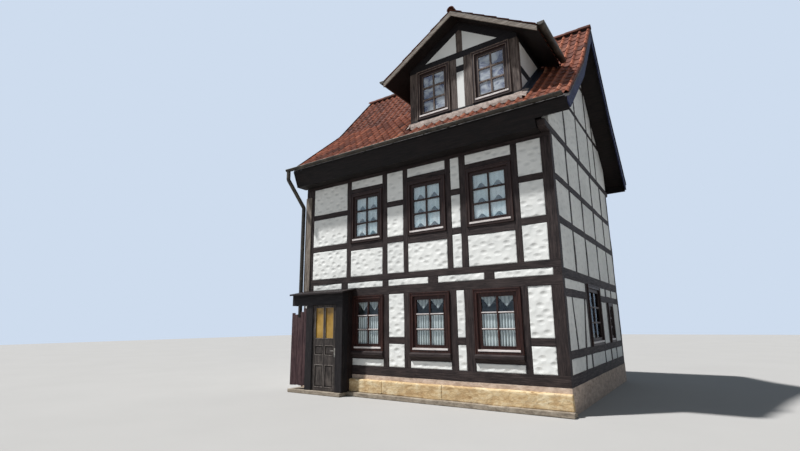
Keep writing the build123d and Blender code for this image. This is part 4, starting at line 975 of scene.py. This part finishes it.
def window_dress(name, found, wall, material, slot, rows=3, bar=0.042, pale_bars=False, sill=True):
    """Glazing bars, beads round the casing, and the pale sill strip of each window."""
    turn = facing(wall)
    along = 0 if wall != "gable" else 1
    bars, beads, strips = [], [], []
    for low, high in found:
        a0, a1, z0, z1 = low[along], high[along], low[2], high[2]
        inset = CASING + SASH
        p0, p1, q0, q1 = a0 + inset, a1 - inset, z0 + inset, z1 - inset
        front = -SASH_BACK + 0.004
        middle = (p0 + p1) / 2
        bars.append(ordered(turn(middle - bar / 2, front, q0 - 0.01),
                            turn(middle + bar / 2, front - 0.03, q1 + 0.01)))
        for row in range(1, rows):
            z = q0 + (q1 - q0) * row / rows
            bars.append(ordered(turn(p0 - 0.01, front + 0.001, z - bar / 2),
                                turn(p1 + 0.01, front - 0.03, z + bar / 2)))
            if pale_bars:
                for s, e in ((p0, middle - bar / 2), (middle + bar / 2, p1)):
                    strips.append(ordered(turn(s, front + 0.006, z),
                                          turn(e, front - 0.004, z + bar / 2 + 0.003)))
        rim = 0.026
        beads += beads_over(turn, ((a0 + 0.004, a0 + rim, z0, z1), (a1 - rim, a1 - 0.004, z0, z1),
                                   (a0, a1, z1 - rim, z1 - 0.004)), PROUD + 0.014, PROUD - 0.01)
        lip = CASING - 0.022
        beads += beads_over(turn, ((a0 + lip, a0 + CASING, z0 + lip, z1 - lip),
                                   (a1 - CASING, a1 - lip, z0 + lip, z1 - lip),
                                   (a0 + lip, a1 - lip, z1 - CASING, z1 - lip)), PROUD + 0.007, PROUD - 0.012)
        sash_low = z0 + CASING
        beads += beads_over(turn, ((p0 - 0.016, p0, q0 - 0.016, q1 + 0.016),
                                   (p1, p1 + 0.016, q0 - 0.016, q1 + 0.016),
                                   (p0, p1, q1, q1 + 0.016), (p0, p1, q0 - 0.016, q0)),
                            front + 0.006, front - 0.02)
        if sill:
            strips.append(ordered(turn(a0 + CASING - 0.02, PROUD + 0.012, sash_low - 0.03),
                                  turn(a1 - CASING + 0.02, -SASH_BACK, sash_low + 0.012)))
    bars_piece(name + "_bars", bars, material, slot)
    bars_piece(name + "_beads", beads, material, slot, 0.005)
    if strips:
        bars_piece(name + "_sill_strips", strips, PALE_PAINT, slot, 0.003, axis=0)


def net(name, wall, a0, a1, out, edge_low, edge_high, fold=0.011, period=0.062, shade=0.8,
        dim=0.0):
    """A pleated net curtain whose lower edge follows edge_low(share across), with painted shade in its folds.
    A higher dim makes it darker.
    """
    turn = facing(wall)
    across = max(24, int((a1 - a0) / period * 10))
    down = 14
    points, folds = [], []
    phase = rng.uniform(0, 6)
    for j in range(down + 1):
        for i in range(across + 1):
            share = i / across
            a = a0 + (a1 - a0) * share
            z0 = edge_low(share)
            z = edge_high - (edge_high - z0) * j / down
            swell = 1 + 0.25 * math.sin(9 * share + phase)
            bend = 0.6 * math.sin(5 * share + phase)
            wave = fold * swell * math.sin(2 * math.pi * (a - a0) / period + bend)
            points.append(turn(a, out + wave * (0.55 + 0.45 * j / down), z))
            # Painted shade in the hollows of the folds, plus the dim over the whole net.
            folds.append(dim + shade * min(1.0, max(0.0, 0.12 - 1.1 * wave / (fold * 1.25))))
    mesh = mesh_of(points, grid_faces(down + 1, across))
    set_values(mesh, "fold", folds)
    piece = piece_from(name, mesh, LACE, "window_glass", "house", smooth=True)
    top = sum((Vector(points[i + 1]) - Vector(points[i])).length for i in range(across))
    tall = edge_high - min(p[2] for p in points)
    return piece


def window_curtains():
    """Nets behind the front windows: pleated below with a pointed valance, and scalloped above."""
    inset = CASING + SASH - 0.02
    for number, (low, high) in enumerate(sorted(boxes("ground_window_frames"), key=lambda b: b[0][0])):
        a0, a1, z0, z1 = low[0] + inset, high[0] - inset, low[2] + inset, high[2] - inset
        top = z0 + (z1 - z0) * 0.655
        net(f"ground_net_{number}", "front", a0, a1, -0.060, lambda s, z0=z0: z0 - 0.01, top, 0.014, 0.070)
        middle = (z1 - z0) * 0.19
        for half, (s, e) in enumerate(((a0, (a0 + a1) / 2 - 0.01), ((a0 + a1) / 2 + 0.01, a1))):
            net(f"ground_valance_{number}_{half}", "front", s, e, -0.060,
                lambda t, z1=z1, middle=middle: z1 - 0.03 - middle * (1 - abs(2 * t - 1)),
                z1 + 0.005, 0.004, 0.09, 0.3, 0.42)
    upper = [b for b in boxes("upper_window_frames") if b[0][2] <= DORMER_FLOOR]
    for number, (low, high) in enumerate(sorted(upper, key=lambda b: b[0][0])):
        a0, a1, z0, z1 = low[0] + inset, high[0] - inset, low[2] + inset, high[2] - inset
        rows = 3
        for row in range(rows):
            top = z0 + (z1 - z0) * (row + 1) / rows + 0.02
            foot = z0 + (z1 - z0) * row / rows
            lift = 0.13 if row else 0.11
            net(f"upper_net_{number}_{row}", "front", a0, a1, -0.054 - 0.012 * row,
                lambda t, foot=foot, lift=lift: foot + 0.022 + lift * (math.sin(2 * math.pi * t) ** 4), top,
                0.004, 0.12, 0.12)


# The house, piece by piece

def timbers():
    for node in ("front_beams", "front_posts", "front_rails", "gable_beams", "gable_posts", "gable_rails",
                 "rear_beams", "rear_posts", "rear_rails"):
        hewn(node, TIMBER, "timber", wave=0.012)
    for node in ("floor_joists", "tie_beams"):
        hewn(node, TIMBER, "timber", step=1.2)
    for node in ("dormer_posts", "dormer_beams", "dormer_rafters", "cheek_plates"):
        hewn(node, DORMER_TIMBER if node == "dormer_posts" else SHADED_TIMBER_COPY, "timber")
    hewn("eave_cornices", EAVE_BOARDS, "dark_boards", 0.003, 0.002, 0.6)
    hewn("barge_boards", SKY_SHADED_VERGE_BOARDS, "dark_boards", 0.004, 0.002)
    hewn("dormer_barge_boards", GREY_BOARDS, "grey_boards", 0.005, 0.002)
    hewn("corner_board", GREY_BOARDS, "grey_boards", 0.005, 0.002)
    hewn("porch_posts", SHADED_TIMBER_COPY, "timber", 0.006, 0.003)
    hewn("porch_head_beam", SHADED_TIMBER_COPY, "timber")
    hewn("porch_sides", DARK_BOARDS, "dark_boards", 0.004, 0.002)
    hewn("porch_hood", DARK_BOARDS, "dark_boards", 0.006, 0.006, 0.2)
    hewn("front_window_sills", TIMBER, "mahogany_frames", 0.003, 0.001, only_sharp=60)
    hewn("ground_window_frames", MAHOGANY, "mahogany_frames", 0.004, 0.0)
    hewn("front_door", DOOR_PAINT, "door_paint", 0.002, 0.0, 5.0, "door", only_sharp=60)
    porch_boards()
    door_beads()


def walls():
    plastered("front_infill", (0, -1, 0), 0.026)
    plastered("gable_infill", (1, 0, 0), 0.036)
    plastered("rear_infill", (0, 1, 0), 0.06)


def stones():
    for node, material, slot, bevel, wave, step in (
            ("plinth_stones", SANDSTONE, "sandstone", 0.018, 0.014, 0.07),
            ("kerb_course", KERB, "kerb_stone", 0.015, 0.008, 0.12),
            ("doorstep", KERB, "kerb_stone", 0.012, 0.006, 0.12)):
        hewn(node, material, slot, bevel, wave, step, only_sharp=35)


def windows():
    ground = boxes("ground_window_frames")
    window_dress("ground_windows", ground, "front", MAHOGANY, "mahogany_frames", pale_bars=True)
    front = boxes("upper_window_frames")
    upper = [b for b in front if b[0][2] <= DORMER_FLOOR]
    dormer = [b for b in front if b[0][2] > DORMER_FLOOR]
    window_dress("upper_windows", upper, "front", DARK_FRAMES, "dark_frames")
    window_dress("dormer_windows", dormer, "front", DORMER_FRAMES, "dark_frames")
    others = boxes("rear_window_frames")
    gable = [b for b in others if b[1][0] > corner.x + WIDTH]
    rear = [b for b in others if b[1][0] <= corner.x + WIDTH]
    window_dress("gable_windows", gable, "gable", DARK_FRAMES, "dark_frames")
    window_dress("rear_windows", rear, "rear", DARK_FRAMES, "dark_frames")
    window_curtains()


def roof():
    boarding("roof_front", "front_roof_boards", SOFFIT_BOARDS)
    boarding("roof_rear", "rear_roof_boards", SOFFIT_BOARDS)
    boarding("dormer_roof", "dormer_roof_boards", SOFFIT_BOARDS)
    main_tiles()
    dormer_tiles()
    z = RIDGE[1] - 0.02
    ridge_tiles("ridge_tiles", at(VERGE_LEFT, RIDGE[0], z), at(VERGE_RIGHT, RIDGE[0], z),
                RIDGE_TILE_RADIUS, ("ridge_capping",))
    ridge_tiles("dormer_ridge_tiles", at(DORMER_CENTRE, -DORMER_VERGE - 0.02, DORMER_RIDGE - 0.04),
                at(DORMER_CENTRE, 2.75, DORMER_RIDGE - 0.04), RIDGE_TILE_RADIUS)
    verge_edges()
    dormer_mortar()
    gutter_fittings()


def porch_boards():
    """Worn upright boards left of the door, each with its own top, and the strips the door closes against."""
    bm = clean_solid("porch_boarding")
    found = sorted((box_of(group) for group in islands(bm)), key=lambda b: b[0][0])
    bm.free()
    (low, high), stops = found[0], found[1:]
    count = 5
    wide = (high[0] - low[0]) / count
    boards = []
    for number in range(count):
        share = (number + 0.5) / count
        foot = cad_low.z + 0.17 + rng.uniform(0, 0.03)
        dip = abs(share - 0.55) / 0.55 if share < 0.55 else abs(share - 0.55) / 0.45
        top = high[2] - 0.18 * (1 - dip) - (0.12 if share < 0.55 else 0.0) - rng.uniform(0.01, 0.05)
        back = rng.uniform(0.0, 0.006)
        boards.append(((low[0] + number * wide + 0.002, low[1] + back, foot),
                       (low[0] + (number + 1) * wide - 0.003, high[1], top)))
        if number:
            x = low[0] + number * wide
            boards.append(((x - 0.012, low[1] + 0.018, foot + 0.04),
                           (x + 0.012, high[1] - 0.001, top - 0.06)))
    bars_piece("porch_front_boards", boards, RED_BOARDS, "red_brown_boards", 0.004)
    strips = bars_piece("door_stop_strips", stops, SHADED_TIMBER_COPY, "red_brown_boards", 0.002)
    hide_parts("porch_boarding")


def door_beads():
    """Mouldings round the glazed and panelled fields of the door."""
    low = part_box("front_door")[0]
    face, foot = low.y, low.z
    panes = [(g[0][0] + 0.01, g[1][0] - 0.01) for g in boxes("door_glass")]
    fields = [(foot + 0.085, foot + 0.65), (foot + 0.90, foot + 1.15), (foot + 1.33, foot + 2.155)]
    bars = []
    for x0, x1 in panes:
        for z0, z1 in fields:
            for s0, s1, t0, t1 in ((x0 - 0.006, x0 + 0.012, z0 - 0.006, z1 + 0.006),
                                   (x1 - 0.012, x1 + 0.006, z0 - 0.006, z1 + 0.006),
                                   (x0, x1, z0 - 0.006, z0 + 0.012), (x0, x1, z1 - 0.012, z1 + 0.006)):
                bars.append(((s0, face - 0.006, t0), (s1, face + 0.012, t1)))
    bars_piece("door_mouldings", bars, DOOR_EDGES, "door_paint", 0.005, "door")


PLAIN_LOOKS = {
    "foundation_long_walls": FOUNDATION, "foundation_short_walls": FOUNDATION, "ground_floor": KERB,
    "upper_floor": FLOOR_BOARDS, "attic_floor": FLOOR_BOARDS, "window_panes": GLASS,
    "party_wall": SMOOTH_PLASTER, "rafters": SHADED_TIMBER_COPY, "sprockets": SHADED_TIMBER_COPY,
    "gutters": ZINC, "downpipe": ZINC,
    "upper_window_frames": DARK_FRAMES, "rear_window_frames": DARK_FRAMES, "dormer_infill": SMOOTH_PLASTER,
    "dormer_cheeks": SMOOTH_PLASTER, "door_glass": YELLOW_GLASS, "hinge_pins": IRON,
    "door_handles": BRASS,
}


def carried_over():
    """Materials of the CAD nodes that stay as they are."""
    for node, material in PLAIN_LOOKS.items():
        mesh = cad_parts[node].data
        mesh.materials.clear()
        mesh.materials.append(material)


# Stage, light and camera

def stage():
    bm = bmesh.new()
    bmesh.ops.create_grid(bm, x_segments=1, y_segments=1, size=FLOOR_SIZE)
    mesh = mesh_from(bm, "studio_floor")
    look = Look("pale_floor", 0.95, 0.1)
    tone = look.noise(look.place(), 0.4, 3)
    colour = look.ramp(tone, [(0.3, srgb(168, 166, 163)), (0.7, srgb(171, 169, 166))])
    mesh.materials.append(look.finish(colour))
    floor = bpy.data.objects.new("studio_floor", mesh)
    floor.location.z = -FLOOR_DROP
    bpy.context.scene.collection.objects.link(floor)


def light():
    world = bpy.data.worlds.new("soft_world")
    world.use_nodes = True
    nodes, links = world.node_tree.nodes, world.node_tree.links
    soft = nodes["Background"]
    soft.inputs["Color"].default_value = WORLD_COLOUR
    soft.inputs["Strength"].default_value = WORLD_STRENGTH
    seen = nodes.new("ShaderNodeBackground")
    seen.inputs["Color"].default_value = srgb(206, 220, 238)
    path = nodes.new("ShaderNodeLightPath")
    most = nodes.new("ShaderNodeMath")
    most.operation = "MAXIMUM"
    links.new(path.outputs["Is Camera Ray"], most.inputs[0])
    links.new(path.outputs["Is Glossy Ray"], most.inputs[1])
    mixed = nodes.new("ShaderNodeMixShader")
    links.new(most.outputs[0], mixed.inputs[0])
    links.new(soft.outputs[0], mixed.inputs[1])
    links.new(seen.outputs[0], mixed.inputs[2])
    links.new(mixed.outputs[0], nodes["World Output"].inputs["Surface"])
    bpy.context.scene.world = world
    for name, energy, spread, direction in LAMPS:
        sun = bpy.data.lights.new(name, "SUN")
        sun.energy = energy
        sun.angle = math.radians(spread)
        lamp = bpy.data.objects.new(name, sun)
        lamp.rotation_mode = "QUATERNION"
        lamp.rotation_quaternion = Vector(direction).to_track_quat("-Z", "Y")
        bpy.context.scene.collection.objects.link(lamp)


def camera():
    yaw, pitch, roll = (math.radians(v) for v in (CAMERA_YAW, CAMERA_PITCH, CAMERA_ROLL))
    forward = Vector((math.sin(yaw) * math.cos(pitch), math.cos(yaw) * math.cos(pitch), math.sin(pitch)))
    level = Vector((math.cos(yaw), -math.sin(yaw), 0))
    up = level.cross(forward)
    right = level * math.cos(roll) + up * math.sin(roll)
    top = up * math.cos(roll) - level * math.sin(roll)
    data = bpy.data.cameras.new("camera")
    data.lens = CAMERA_LENS
    data.sensor_width = 36
    data.clip_end = 200
    seen = bpy.data.objects.new("camera", data)
    turn = Matrix((right, top, -forward)).transposed().to_4x4()
    seen.matrix_world = Matrix.Translation(Vector(CAMERA_PLACE)) @ turn
    bpy.context.scene.collection.objects.link(seen)
    bpy.context.scene.camera = seen


camera()
stage()
light()
carried_over()
timbers()
walls()
stones()
windows()
roof()
bpy.context.scene.view_settings.view_transform = "Standard"
